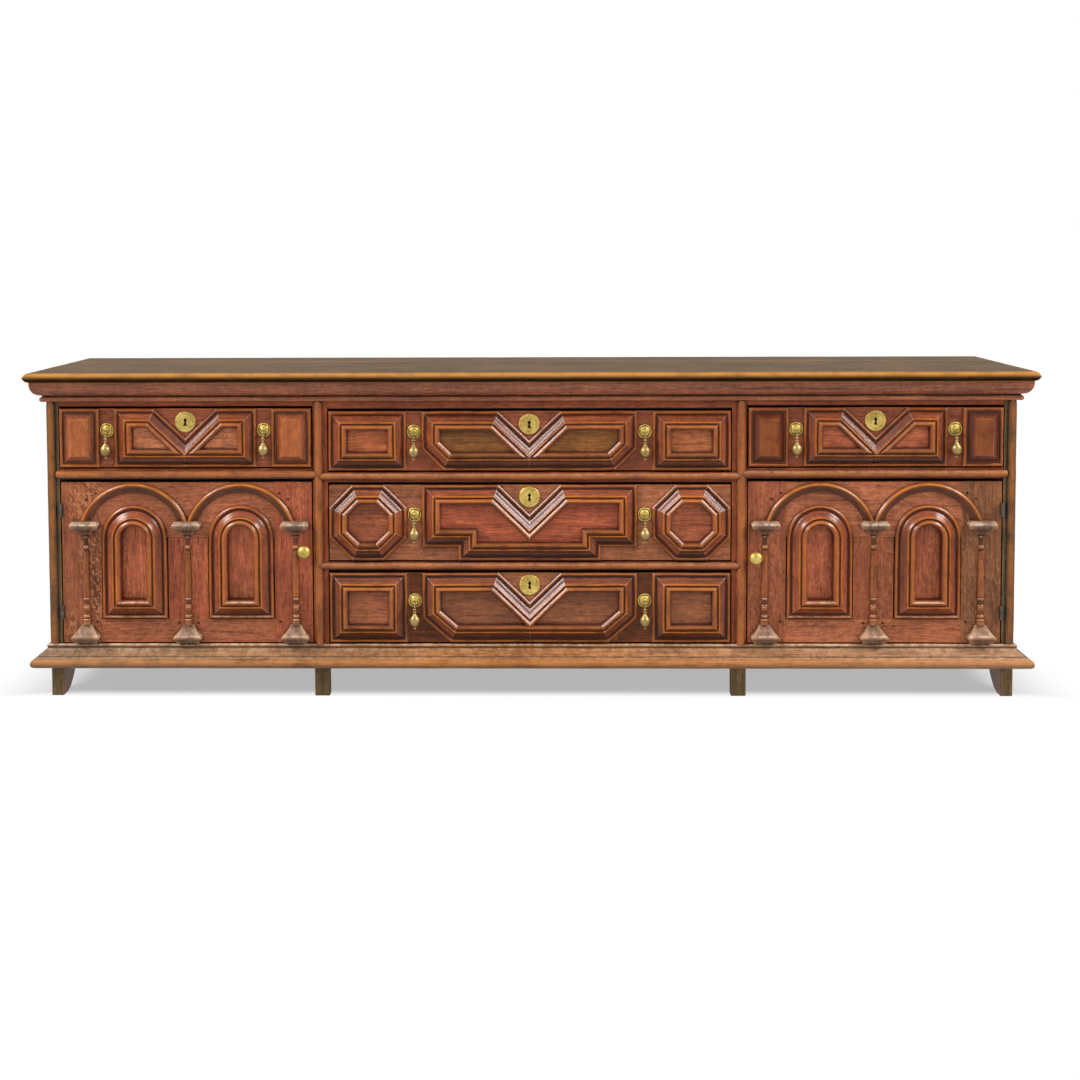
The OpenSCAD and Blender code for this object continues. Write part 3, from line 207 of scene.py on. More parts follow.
class Shape:
    """Collects the surfaces of one piece with the marks that its material reads."""

    def __init__(self, look, uneven=1.0):
        self.look, self.uneven = look, uneven
        self.points, self.faces, self.marks, self.count = [], [], [], 0

    def add(self, points, faces, grain, wear=0.0, dirt=0.0, look=None, dust=0.0):
        """Adds a grid of points, over which wear, dirt with painted shade, and dust with painted highlights
        spread. grain is their place in the board.
        """
        points = np.asarray(points, float)
        grid, points = points.shape[:-1], points.reshape(-1, 3)
        look = look or self.look
        marks = np.zeros((len(points), 10))
        marks[:, GRAIN] = (np.reshape(grain, (-1, 3)) + rng.uniform(-1, 1, 3) * APART) / 1000
        marks[:, HUE] = hue(look) * rng.uniform(*BOARD_TONE)
        for column, value in ((WEAR, wear), (DIRT_AND_SHADE, dirt), (DUST_AND_HIGHLIGHT, dust), (RAYS, LOOKS[look][3])):
            marks[:, column] = np.broadcast_to(value, grid).ravel()
        self.faces += [[i + self.count for i in f] for f in faces]
        self.points.append(points)
        self.marks.append(marks)
        self.count += len(points)

    def piece(self, name, body, material, node, slot, depth=None):
        """Makes the piece. depth is how thick its boards are, whose edges between their faces get painted
        shade, dark as in a gap.
        """
        p = np.concatenate(self.points)
        marks = np.concatenate(self.marks)
        if depth:
            # Painted shade on the board's edges, as in the gaps between boards
            edge = ramp(p[:, 1], 0.5, 1.3) * ramp(p[:, 1], depth - 1.3, depth - 2.8)
            marks[:, DIRT_AND_SHADE] = np.maximum(marks[:, DIRT_AND_SHADE], 0.92 * edge)
            marks[:, WEAR] *= 0.6 * (1 - edge)
        p = p + self.uneven * wobble(p)
        p[:, 1] += FRONT_Y
        p = np.clip(p / 1000, np.array(cad_low) + MARGIN, np.array(cad_high) - MARGIN)
        mesh = bpy.data.meshes.new(name)
        mesh.from_pydata(p.tolist(), [], self.faces)
        for word, columns in (("grain", GRAIN), ("hue", HUE)):
            data = mesh.attributes.new(word, "FLOAT_VECTOR", "POINT").data
            data.foreach_set("vector", marks[:, columns].ravel())
        for word, column in (("wear", WEAR), ("dirt", DIRT_AND_SHADE), ("dust", DUST_AND_HIGHLIGHT), ("rays", RAYS)):
            mesh.attributes.new(word, "FLOAT", "POINT").data.foreach_set("value", marks[:, column].copy())
        mesh.validate()
        mesh.shade_smooth()
        mesh.set_sharp_from_angle(angle=math.radians(SHARP_TURN))
        mesh.materials.append(material)
        obj = bpy.data.objects.new(name, mesh)
        bpy.context.scene.collection.objects.link(obj)
        obj.modifiers.new("even_normals", "WEIGHTED_NORMAL").keep_sharp = True
        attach(obj, body)
        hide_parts(node)


def dress(node, material):
    """Gives a CAD node that stays its material."""
    data = nodes[node].data
    if not data.materials:
        data.materials.append(material)
    for slot in nodes[node].material_slots:
        slot.link = "OBJECT"
        slot.material = material


def turned_edge(points, r, closed=True):
    """Rounds the sharp corners of a section and adds points next to them."""
    least, soft_turn = 1e-6, 24
    pts = [np.array(p, float) for p in points]
    if closed and np.linalg.norm(pts[0] - pts[-1]) < least:
        pts.pop()
    out = []
    for i, p in enumerate(pts):
        if not closed and i in (0, len(pts) - 1):
            out.append(p)
            continue
        a, b = pts[i - 1] - p, pts[(i + 1) % len(pts)] - p
        la, lb = np.linalg.norm(a), np.linalg.norm(b)
        if la < least or lb < least:
            continue
        if math.degrees(math.acos(np.clip(-(a @ b) / la / lb, -1, 1))) < soft_turn:
            out.append(p)
            continue
        d = min(r, 0.4 * la, 0.4 * lb)
        s, e = p + a / la * d, p + b / lb * d
        out += [(1 - t) ** 2 * s + 2 * t * (1 - t) * p + t * t * e for t in (0.0, 0.33, 0.67, 1.0)]
    return filled(out, closed)


def filled(line, closed, margin=3.0, gap=14.0):
    """Adds points to the long stretches of a line, close to their ends and evenly between."""
    full = []
    for a, b in zip(line, line[1:] + line[:1] if closed else line[1:]):
        length = np.linalg.norm(b - a)
        full.append(a)
        if length > 3 * margin:
            inner = np.linspace(margin, length - margin, max(2, int(length / gap)))[1:-1]
            full += [a + (b - a) * c / length for c in (margin, *inner, length - margin)]
    return np.array(full if closed else full + [line[-1]])


def section_marks(s, closed=True, span=2.6):
    """How much each point of a section stands out (worn) or lies in a corner (dirt with painted shade)."""
    ring = np.vstack([s, s[:1]]) if closed else s
    at = np.concatenate([[0], np.cumsum(np.linalg.norm(np.diff(ring, axis=0), axis=1))])
    total = at[-1]
    area = 0.5 * np.sum(ring[:-1, 0] * ring[1:, 1] - ring[1:, 0] * ring[:-1, 1])
    turn = 1 if area > 0 else -1

    def look_at(t):
        t = t % total if closed else np.clip(t, 0, total)
        return np.column_stack([np.interp(t, at, ring[:, 0]), np.interp(t, at, ring[:, 1])])

    here = at[: len(s)]
    a, b = look_at(here - span), look_at(here + span)
    chord = b - a
    side = np.column_stack([chord[:, 1], -chord[:, 0]]) * turn
    side /= np.maximum(np.linalg.norm(side, axis=1, keepdims=True), 1e-6)
    bulge = np.sum((s - (a + b) / 2) * side, axis=1) / span
    return ramp(bulge, 0.16, 0.56), ramp(bulge, -0.12, -0.42)


def quads(rows, cols, closed):
    out = []
    for i in range(rows - 1):
        for j in range(cols if closed else cols - 1):
            k = (j + 1) % cols
            out.append([i * cols + j, i * cols + k, (i + 1) * cols + k, (i + 1) * cols + j])
    return out


def first_and_last(rows, cols):
    return [list(range(cols)), list(range((rows - 1) * cols, rows * cols))[::-1]]


def capped(p):
    """Faces of a tube of rows of points with both ends shut."""
    n, m = p.shape[:2]
    return quads(n, m, True) + [f[::-1] for f in first_and_last(n, m)]


def section_grain(along, section):
    return np.stack(np.broadcast_arrays(along, section[:, 0], section[:, 1]), -1)


def lathe(profile, angles):
    """A turned surface, one row for each (radius, height) of its profile."""
    r, up = np.array(profile).T[..., None]
    return np.stack(np.broadcast_arrays(r * np.cos(angles), r * np.sin(angles), up), -1)


def sweep(shape, section, start, end, step=24.0, edge=0.0, look=None, marks=None, dust=(0, 0)):
    """Runs a closed section from start to end. start and end are (origin, direction of s, direction of h)."""
    s, h = section[:, :1], section[:, 1:]
    a = start[0] + s * start[1] + h * start[2]
    b = end[0] + s * end[1] + h * end[2]
    run_between(shape, section, a, b, step, edge, look, marks, dust)


def run_between(shape, section, a, b, step, edge, look, marks, dust, mitre_w=1.6):
    """Joins two placed copies of a section. edge eases the ends; dust and a painted highlight lie in the
    mitres at the ends.
    """
    wear, dirt = section_marks(section) if marks is None else marks
    length = float(np.max(np.linalg.norm(b - a, axis=1)))
    margin = (edge or mitre_w) / length
    t = np.linspace(0, 1, max(2, int(length / step) + 2))
    t = np.unique([margin, 1 - margin, 4 * margin, 1 - 4 * margin, *t])[:, None, None]
    p = a * (1 - t) + b * t
    ends = np.zeros((len(t), 1))
    ends[[0, -1]] = 1
    if edge:
        for row in (0, -1):
            middle = p[row].mean(0)
            out = p[row] - middle
            p[row] = middle + out * (1 - edge / np.abs(out).max())
        wear = np.maximum(wear, ends)
    run = b.mean(0) - a.mean(0)
    run /= np.linalg.norm(run)
    mitre_dust_and_highlight = ends * np.linspace(dust[0], dust[1], len(t))[:, None] * np.clip(section[:, 1] / 4, 0, 1)
    shape.add(p, capped(p), section_grain((p - a.mean(0)) @ run, section), wear, dirt, look, mitre_dust_and_highlight)


AXES = {"x": (0, 1, 2), "y": (1, 0, 2), "z": (2, 0, 1)}


def board(shape, low, high, grain="x", r=1.2, look=None, step=30.0, zones=(), shade=0.0):
    """A plank with eased edges, its grain along one axis.

    zones are (from, to, look) along it, measured from its middle; shade is how far up from its
    foot a painted shadow darkens it over a gap.
    """
    low, high = np.minimum(low, high).astype(float), np.maximum(low, high).astype(float)
    i, j, k = AXES[grain]
    w, d = high[j] - low[j], high[k] - low[k]
    section = turned_edge([(0, 0), (w, 0), (w, d), (0, d)], r)
    end = low.copy()
    end[i] = high[i]
    across = (UNITS[j], UNITS[k])
    sweep(shape, section, (low, *across), (end, *across), edge=1.0, look=look, step=step)
    marks, points = shape.marks[-1], shape.points[-1]
    along = points[:, i] - (low[i] + high[i]) / 2
    for left, right, zone in zones:
        marks[(along >= left) & (along <= right), HUE] = hue(zone) * rng.uniform(*ZONE_TONE)
    if shade:
        # Painted shadow, black at the foot, over the gap beneath
        foot = 1.6 * np.clip(1.3 - (points[:, 2] - low[2]) / shade, 0, 1)
        marks[:, DIRT_AND_SHADE] = np.maximum(marks[:, DIRT_AND_SHADE], foot)


def finer(line, most):
    """Adds points to a line, no further apart than most."""
    out = [line[0]]
    for a, b in zip(line[:-1], line[1:]):
        steps = max(1, math.ceil(np.linalg.norm(b - a) / most))
        out += [a + (b - a) * k / steps for k in range(1, steps + 1)]
    return np.array(out)


# Sections


def moulding_section(w, base=0.0):
    """The mitred mouldings: distance in from the outer edge, height above the face."""
    rise = np.linspace(0, 1, 8)[1:]
    slope = [(13 + 14.5 * t, 4.5 + 12 * t + 0.5 * math.sin(2 * math.pi * t)) for t in rise]
    points = [(0, 4.4), (3.3, 7.3), (4.5, 7.8), (5.7, 7.3), (9, 4.4), (9, 2), (13, 2), (13, 4.5)] + slope
    points += [(29.6, 19), (30.5, 19.6), (31.5, 19), (33.6, 17), (34, 15.2), (36.3, 15.2), (36.5, 18)]
    points += [(41, 22.2), (43, 23.2), (45, 22.2), (49.5, 18), (50, 16)]
    u = w / 50
    return turned_edge([(0, base)] + [(a * u, b * u) for a, b in points] + [(w, base)], 0.8)


def moulding_marks(section, w):
    """Worn beads; dirt and painted shade in the groove beside the outer one and at the thin bead, and a
    painted shadow at the inner foot.
    """
    s = section[:, 0] * 50 / w
    wear = np.maximum.reduce([0.75 * near(s, 4.2, 4.0), near(s, 30.2, 3.4), 0.75 * near(s, 41.5, 6.5)])
    dirt = np.maximum.reduce([1.7 * near(s, 10.9, 2.6), 0.35 * near(s, 35.2, 1.6), near(s, 50.5, 1.6)])
    return wear, np.clip(dirt, 0, 1)


def small_section():
    points = [(0, 0), (0, 3.5)] + arc(4.5, 3.5, 4.5, 5, 180, 0)[1:] + [(9, 2.5), (13, 2.5), (13, 0)]
    return turned_edge(points, 0.7)


def base_section():
    h, p = BASE_H, BASE_OUT
    points = [(0, 0), (0, h), (5, h)] + arc(5, h - 3.5, 3, 3.5, 90, -30, 7)
    points += [(8, h - 7), (6.5, h - 9), (8.5, h - 13), (12, h - 19.5), (17, h - 25), (22, h - 27.5)]
    points += [(24, h - 28), (24, h - 29.5), (p - 15, h - 29.5), (p - 10.5, h - 32)]
    points += arc(p - 13, 12.5, 13, 12.5, 70, -90, 14)
    return turned_edge(points, 1.0)


def cornice_section():
    h, p = CORNICE_H, CORNICE_OUT
    points = [(0, h), (0, 0), (8, 0)] + arc(8, 7, 6, 7, -90, 90, 12) + [(8, 17), (11, 17)]
    points += arc(11, h - 5, p - 11, h - 22.5, -90, 0, 14) + [(p, h)]
    return turned_edge(points, 0.9)


# Materials


class Nodes:
    """Short words for the node tree of one material."""

    def __init__(self, name):
        self.material = bpy.data.materials.new(name)
        self.material.use_nodes = True
        self.tree = self.material.node_tree
        self.shader = self.tree.nodes["Principled BSDF"]

    def put(self, kind, values=None, **settings):
        node = self.tree.nodes.new(kind)
        for key, value in settings.items():
            setattr(node, key, value)
        for key, value in (values or {}).items():
            self.set(node.inputs[key], value)
        return node

    def set(self, socket, value):
        if isinstance(value, bpy.types.NodeSocket):
            self.tree.links.new(value, socket)
        elif isinstance(value, (tuple, list)) and len(value) == 3 and socket.type == "RGBA":
            socket.default_value = (*value, 1)
        else:
            socket.default_value = value

    def surface(self, **values):
        for key, value in values.items():
            self.set(self.shader.inputs[key.replace("_", " ")], value)

    def math(self, operation, a, b=0.0, clamp=False):
        return self.put("ShaderNodeMath", {0: a, 1: b}, operation=operation, use_clamp=clamp).outputs[0]

    def times(self, a, b):
        return self.math("MULTIPLY", a, b)

    def plus(self, a, b):
        return self.math("ADD", a, b)

    def most(self, a, b):
        return self.math("MAXIMUM", a, b)

    def swing(self, value, by):
        """by times how far a noise is from its middle."""
        return self.times(self.math("SUBTRACT", value, 0.5), by)

    def vector(self, operation, a, b):
        return self.put("ShaderNodeVectorMath", {0: a, 1: b}, operation=operation).outputs[0]

    def turned(self, vector, axis, angle):
        values = {"Vector": vector, "Angle": angle}
        return self.put("ShaderNodeVectorRotate", values, rotation_type=axis).outputs[0]

    def noise(self, vector, scale, detail=2.0, rough=0.5, distortion=0.0):
        """scale is one number, or one for each axis."""
        if isinstance(scale, tuple):
            vector, scale = self.vector("MULTIPLY", vector, scale), 1.0
        values = {"Vector": vector, "Scale": scale, "Detail": detail, "Roughness": rough}
        return self.put("ShaderNodeTexNoise", {**values, "Distortion": distortion}).outputs["Fac"]

    def span(self, value, low, high, to_low=0.0, to_high=1.0):
        values = {"Value": value, "From Min": low, "From Max": high, "To Min": to_low, "To Max": to_high}
        return self.put("ShaderNodeMapRange", values, interpolation_type="SMOOTHSTEP").outputs[0]

    def mix(self, share, a, b, blend="MIX"):
        node = self.put("ShaderNodeMix", {0: share, 6: a, 7: b}, data_type="RGBA", blend_type=blend)
        return node.outputs[2]

    def tint(self, colour, by):
        return self.mix(1.0, colour, by, "MULTIPLY")

    def grey(self, value):
        return self.put("ShaderNodeCombineColor", {0: value, 1: value, 2: value}).outputs[0]

    def mark(self, name, kind="Fac"):
        return self.put("ShaderNodeAttribute", attribute_name=name).outputs[kind]

    def place(self):
        return self.put("ShaderNodeTexCoord").outputs["Object"]

    def shut_in(self, reach, low, high, most):
        """How far a place lies in a corner."""
        clear = self.put("ShaderNodeAmbientOcclusion", {"Distance": reach}, samples=6).outputs["AO"]
        return self.span(clear, low, high, most, 0.0)

    def bump(self, height, strength, distance):
        values = {"Strength": strength, "Distance": distance, "Height": height}
        self.surface(Normal=self.put("ShaderNodeBump", values).outputs[0])


# Pale colour of dust, chips and painted highlights, and the black of painted shade in gaps
DUST_AND_HIGHLIGHT_COLOUR, SHADE_BLACK = (0.58, 0.46, 0.34), (0.002, 0.0015, 0.001)
OAK_CORNER, METAL_CORNER = 0.009, 0.0065  # reach of the painted shade in the oak's corners and of the dark in the metal's corners, in metres


def fibres(n, grain, base, place, swayed, streaks, pores, blots):
    """The board's own colour, darker and lighter along its fibres and in wide patches."""
    rings = n.noise(swayed, (1.1, 46.0, 60.0), 3.0, 0.6)
    depth = n.plus(n.times(rings, 0.45), n.times(streaks, 0.55))
    dark, light = n.tint(base, (0.42, 0.33, 0.34)), n.tint(base, (1.42, 1.48, 1.35))
    colour = n.mix(n.span(depth, 0.30, 0.50), dark, base)
    colour = n.mix(n.span(depth, 0.51, 0.68), colour, light)
    ticks = n.noise(grain, (26.0, 300.0, 300.0), 2.0, 0.6)
    patina = n.noise(place, 5.5, 4.0, 0.6)
    shades = ((ticks, 0.18, 0.80, 1.20), (patina, 0.16, 0.82, 1.14), (blots, 0.16, 0.86, 1.12))
    for noise, reach, low, high in shades:
        colour = n.tint(colour, n.grey(n.span(noise, 0.5 - reach, 0.5 + reach, low, high)))
    colour = n.mix(n.span(pores, 0.58, 0.68, 0.0, 0.60), colour, n.tint(base, (0.22, 0.2, 0.22)))
    return colour, dark


def silver_figure(n, grain, base, colour, dark):
    """Pale flecks with dark edges, slanting over the grain of boards cut along the rays."""
    slant = n.turned(n.turned(grain, "Y_AXIS", 0.5), "Z_AXIS", 0.4)
    fleck = n.noise(slant, (24.0, 165.0, 165.0), 1.0, 0.5, 0.8)
    where = n.span(n.noise(grain, (4.0, 12.0, 12.0)), 0.40, 0.54)
    rays = n.times(n.times(n.mark("rays"), 0.85), where)
    colour = n.mix(n.times(n.span(fleck, 0.44, 0.34), n.times(rays, 0.8)), colour, dark)
    return n.mix(n.times(n.span(fleck, 0.55, 0.61), rays), colour, n.tint(base, (1.65, 2.3, 2.2)))


def oak(name, worn, grime_and_shade, gloss=0.34, level=0.32, worn_most=0.8, least_rub=0.2):
    """Old oak with streaks, pores, silver figure, worn edges, dark wax and painted shade in its corners,
    black painted shade in its gaps, and dust and painted highlights.
    """
    n = Nodes(name)
    grain, base, place = n.mark("grain", "Vector"), n.mark("hue", "Color"), n.place()
    sway = n.times(n.noise(grain, (2.2, 9.0, 9.0)), 0.045)
    swayed = n.vector("ADD", grain, n.put("ShaderNodeCombineXYZ", {"Y": sway}).outputs[0])
    streaks = n.noise(swayed, (7.0, 130.0, 130.0), 4.0, 0.70)
    pores = n.noise(grain, (30.0, 520.0, 520.0))
    cloud, blots = n.noise(place, 19.0, 3.0, 0.6), n.noise(place, 62.0, 3.0, 0.65)
    wear, dirt = n.mark("wear"), n.mark("dirt")
    colour, dark = fibres(n, grain, base, place, swayed, streaks, pores, blots)
    colour = silver_figure(n, grain, base, colour, dark)

    rub = n.span(n.plus(cloud, n.times(streaks, 0.25)), 0.38, 0.72, least_rub, 1.0)
    colour = n.mix(n.times(n.times(rub, wear), worn_most), colour, worn)
    # Painted shade in corners from their occlusion, with the dirt and painted shade of the marks
    soot_and_shade = n.most(n.shut_in(OAK_CORNER, 0.20, 0.82, 0.85), n.times(dirt, 0.93))
    soot_and_shade = n.times(soot_and_shade, n.span(cloud, 0.30, 0.60, 0.72, 1.0))
    colour = n.mix(soot_and_shade, colour, grime_and_shade)
    # Black painted shade in gaps and in the mouths of keyholes
    colour = n.mix(n.span(dirt, BLACK_SHADE_FROM, 1.4), colour, SHADE_BLACK)
    chips = n.span(n.noise(place, 260.0), 0.735, 0.76)
    chips = n.times(chips, n.plus(n.times(wear, 0.5), 0.1))
    # Dust, and painted highlights, from the marks
    dust = n.times(n.mark("dust"), n.span(blots, 0.40, 0.60, 0.25, 0.85))
    colour = n.mix(n.most(chips, dust), colour, DUST_AND_HIGHLIGHT_COLOUR)

    shine = n.plus(n.plus(gloss, n.swing(streaks, 0.20)), n.times(soot_and_shade, 0.3))
    shine = n.math("ADD", shine, n.swing(blots, 0.22), clamp=True)
    n.surface(Base_Color=colour, Roughness=shine, IOR=1.46, Specular_IOR_Level=level)
    dents = n.noise(place, 70.0, 3.0, 0.6)
    height = n.plus(n.times(streaks, 0.35), n.times(dents, 0.55))
    n.bump(n.math("SUBTRACT", height, n.times(n.span(pores, 0.58, 0.70), 0.20)), 0.5, 0.0010)
    return n.material


def metal(name, bright, dull, dark, rough, metallic=1.0):
    """Aged metal, or a plain surface, with dull patches and dark corners."""
    n = Nodes(name)
    place = n.place()
    patches, fine = n.noise(place, 60.0, 3.0, 0.6), n.noise(place, 420.0, 2.0, 0.55)
    colour = n.mix(n.span(patches, 0.35, 0.68), bright, dull)
    colour = n.mix(n.shut_in(METAL_CORNER, 0.2, 0.9, 0.9), colour, dark)
    colour = n.mix(n.span(fine, 0.58, 0.75, 0.0, 0.35), colour, dark)
    n.surface(Base_Color=colour, Metallic=metallic, Roughness=n.plus(rough, n.times(patches, 0.25)))
    n.bump(n.plus(patches, n.times(fine, 0.3)), 0.4, 0.0004)
    return n.material


# Colour of the dirt and painted shade in the oak's corners and gaps
GRIME_AND_SHADE = (0.016, 0.005, 0.003)
BRASS_GRIME = (0.045, 0.03, 0.010)
OAK = oak("oak", (0.46, 0.150, 0.018), GRIME_AND_SHADE, gloss=0.30, level=0.20)
MOULDED = oak("oak_moulded", (0.54, 0.170, 0.016), GRIME_AND_SHADE, gloss=0.25, level=0.34)
TURNED = oak("oak_turned", (0.46, 0.230, 0.110), GRIME_AND_SHADE, gloss=0.24, level=0.34)
GOLDEN = oak("oak_golden", (0.40, 0.165, 0.055), (0.020, 0.011, 0.006), gloss=0.30, level=0.22)
TOP = oak("oak_top", (0.42, 0.180, 0.042), GRIME_AND_SHADE, gloss=0.40, level=0.008, worn_most=0.95, least_rub=0.6)
INSIDE = oak("oak_inside", (0.36, 0.26, 0.17), (0.05, 0.03, 0.02), gloss=0.62, worn_most=0.4, level=0.2)
BRASS = metal("aged_brass", (0.66, 0.49, 0.135), (0.42, 0.29, 0.070), BRASS_GRIME, 0.34, 0.9)
PALE_BRASS = metal("pale_brass", (0.40, 0.285, 0.115), (0.25, 0.17, 0.055), BRASS_GRIME, 0.32, 0.85)
IRON = metal("old_iron", (0.13, 0.11, 0.09), (0.07, 0.055, 0.045), (0.02, 0.015, 0.012), 0.5, 0.85)
PLAIN_OAK = metal("oak_runner", (0.30, 0.19, 0.11), (0.22, 0.13, 0.07), (0.06, 0.035, 0.02), 0.55, 0.0)
PEG_OAK = metal("oak_peg", (0.20, 0.075, 0.025), (0.12, 0.04, 0.015), (0.03, 0.015, 0.01), 0.45, 0.0)


# Carcass


def top():
    """The two planks of the top: a nosed one in front, and one behind its joint line."""
    seam = FRONT_PLANK_D - FRONT_OVER
    plank("top_front", -FRONT_OVER, seam, True)
    plank("top_back", seam, CARCASS_D + BACK_OVER, False)


def plank(name, y0, y1, nosed, end_rows=13):
    """A plank of the top, from y0 to y1, with round ends."""
    shape = Shape("top", 0.7)
    half, r = HALF_W + SIDE_OVER, TOP_T / 2
    lip = arc(y0 + r, r, r, r, 270, 90, 12) if nosed else [(y0, 0), (y0, TOP_T)]
    section = turned_edge(lip + [(y1, TOP_T), (y1, 0)], 1.0)
    y, z = section.T
    wear, dirt = section_marks(section, span=4.0)
    seam = 0.0
    if nosed:
        rounded = np.clip(1.25 - (y - y0) / (1.3 * r), 0, 1)
        up = ramp(z / TOP_T, 0.3, 0.7)
        # The nose's upper half is worn pale, partly as a painted highlight; its lower half, which faces down,
        # is darkened as painted shade
        wear, dirt = np.maximum(wear, rounded) * up, np.maximum(dirt, 0.85 * rounded * (1 - up))
        seam = near(y, y1, 2.5) * (z > TOP_T - 1.5)
    turn = np.linspace(math.pi / 2, 0, end_rows)
    xs, thinner = half - r + r * np.sin(turn), 1 - np.cos(turn)
    middle = np.linspace(r - half, half - r, 110)[1:-1]
    x = np.concatenate([-xs, middle, xs[::-1]])[:, None]
    thinner = np.concatenate([thinner, 0 * middle, thinner[::-1]])[:, None]
    p = np.stack(np.broadcast_arrays(x, y, CARCASS_H + r + (z - r) * (1 - thinner)), -1)
    row = np.arange(len(x))
    ends = np.clip(1 - np.minimum(row, row[::-1]) / end_rows, 0, 1)[:, None]
    shape.add(p, capped(p), p, np.maximum(wear, ends), dirt, None, seam)
    shape.piece(name, "carcass", TOP, f"{name}_plank", "oak_top")


def wrapped(name, node, section, z, material, marks, finish=None):
    """A moulding along the front and both ends, mitred at the corners; finish marks its front."""
    shape = Shape(name.split("_")[0])
    left, right, back = np.array([-HALF_W, 0, z]), np.array([HALF_W, 0, z]), CARCASS_D * Y
    sweep(shape, section, (left, -X - Y, Z), (right, X - Y, Z), marks=marks)
    if finish:
        finish(shape.points[-1], shape.marks[-1])
    sweep(shape, section, (right, X - Y, Z), (right + back, X, Z), marks=marks)
    sweep(shape, section, (left + back, -X, Z), (left, -X - Y, Z), marks=marks)
    shape.piece(name, "carcass", material, node, "oak_mouldings")


def cornice():
    section = cornice_section()
    marks = section_marks(section, span=3.2)
    wrapped("cornice", "cornice_moulding", section, CARCASS_H - CORNICE_H, MOULDED, marks)


# Heights on the base moulding, and how strongly painted highlights lighten them
BASE_HIGHLIGHT = ([0, 26, 28, 30, 44, 47, 49, 54, 56, 59], [0, 0, 0.3, 0.1, 0.1, 0.5, 0, 0, 0.9, 0.7])


def base_moulding():
    """The base moulding, with painted highlights on its top edges, its colour changing along the front."""
    section = base_section()
    h = section[:, 1]
    # Wear on the nosing, and a painted highlight along the top edge near 57 mm carried by the wear mark; dirt
    # and painted shade in the two hollows
    wear = np.clip(1.1 - np.abs(h - 16) / 14, 0, 0.75) + near(h, 57, 3)
    dirt = np.maximum(0.9 * near(h, 50.5, 2.5), 0.85 * near(h, 29.5, 2))

    def finish(points, marks):
        # Painted highlight lines by height
        marks[:, DUST_AND_HIGHLIGHT] = np.interp(points[:, 2] - BASE_Z, *BASE_HIGHLIGHT)
        left, right = ramp(points[:, :1], 0, -HALF_W), ramp(points[:, :1], 0, HALF_W)
        marks[:, HUE] = hue("base") * (1 - left - right) + hue("base_left") * left + hue("base_right") * right

    wrapped("base_mould", "base_moulding", section, BASE_Z, GOLDEN, (np.clip(wear, 0, 1), dirt), finish)


def stile(shape, side, back):
    """A corner stile with the worn slope behind its foot."""
    x0, x1 = sorted((side * STILE_X, side * HALF_W))
    foot, rise, top_z, ease = 36.0, 44.0, CARCASS_H - 1, 1.2
    run = STILE_D - foot
    outline = [(0, 0), (foot, 0), (foot + 0.35 * run, 0.16 * rise), (foot + 0.75 * run, 0.6 * rise)]
    section = turned_edge(outline + [(STILE_D, rise), (STILE_D, top_z), (0, top_z)], 2.0)
    middle = section.mean(0)
    out = section - middle
    eased = middle + out * (1 - 2 * ease / np.maximum(np.abs(out).max(0), 1))
    sign, y = (-1, CARCASS_D) if back else (1, 0.0)
    p = []
    for x in (x0, x0 + ease, x0 + 6, (x0 + x1) / 2, x1 - 6, x1 - ease, x1):
        s = eased if x in (x0, x1) else section
        p.append(np.column_stack([np.full(len(s), x), y + sign * s[:, 0], s[:, 1]]))
    p = np.array(p)
    wear, dirt = section_marks(section)
    ends = np.array([1, 0.6, 0, 0, 0, 0.6, 1])[:, None]
    shape.add(p, capped(p), p[..., [2, 0, 1]], np.maximum(wear, ends), dirt)
    shape.marks[-1][shape.points[-1][:, 2] < BASE_Z + 3, HUE] = hue("foot")


def stiles():
    front, back = Shape("stile"), Shape("back")
    both(lambda s: stile(front, s, False))
    both(lambda s: stile(back, s, True))
    front.piece("front_stiles", "carcass", GOLDEN, "corner_stiles", "oak_frame")
    back.piece("rear_stiles", "carcass", GOLDEN, "back_stiles", "oak_frame")


def front_frame():
    """The muntins, whose feet are paler, and the rails, with a painted shadow where they hang over a gap."""
    shape = Shape("frame")
    inner, outer = MUNTIN_X, MUNTIN_X + MUNTIN_W
    feet = [(-CARCASS_H, BASE_Z + 5 - CARCASS_H / 2, "foot")]
    both(lambda s: board(shape, (s * inner, 0, 0), (s * outer, FRAME_T, CARCASS_H), "z", 2.0, zones=feet))
    shape.piece("muntins_front", "carcass", OAK, "muntins", "oak_frame", FRAME_T)

    shape = Shape("frame")
    for z0, z1 in SIDE_RAILS:
        both(lambda s: board(shape, (s * outer, 0, z0), (s * STILE_X, FRAME_T, z1), shade=1.5))
    for z0, z1 in CENTRE_RAILS:
        board(shape, (-inner, 0, z0), (inner, FRAME_T, z1), shade=3.0)
    shape.piece("rails_front", "carcass", OAK, "front_rails", "oak_frame", FRAME_T)


def ends():
    """The two panelled ends."""
    z0, z1 = BASE_Z + 117, CARCASS_H - 108
    inner, outer = STILE_X, STILE_X + SIDE_RAIL_T
    y0, y1, muntin = STILE_D, CARCASS_D - STILE_D, 30.0
    middle = CARCASS_D / 2
    shape, panels = Shape("frame"), Shape("frame")

    def end(s):
        board(shape, (s * inner, y0, BASE_Z), (s * outer, y1, z0), "y")
        board(shape, (s * inner, y0, z1), (s * outer, y1, CARCASS_H), "y")
        board(shape, (s * inner, middle - muntin, z0), (s * outer, middle + muntin, z1), "z")
        for a, b in ((y0, middle - muntin), (middle + muntin, y1)):
            low = (s * (inner + PANEL_T), a - GROOVE_D, z0 - GROOVE_D)
            board(panels, low, (s * (inner + 2 * PANEL_T), b + GROOVE_D, z1 + GROOVE_D), "z")

    both(end)
    shape.piece("end_frames", "carcass", OAK, "side_frames", "oak_frame")
    panels.piece("end_panels", "carcass", OAK, "side_panels", "oak_panels")


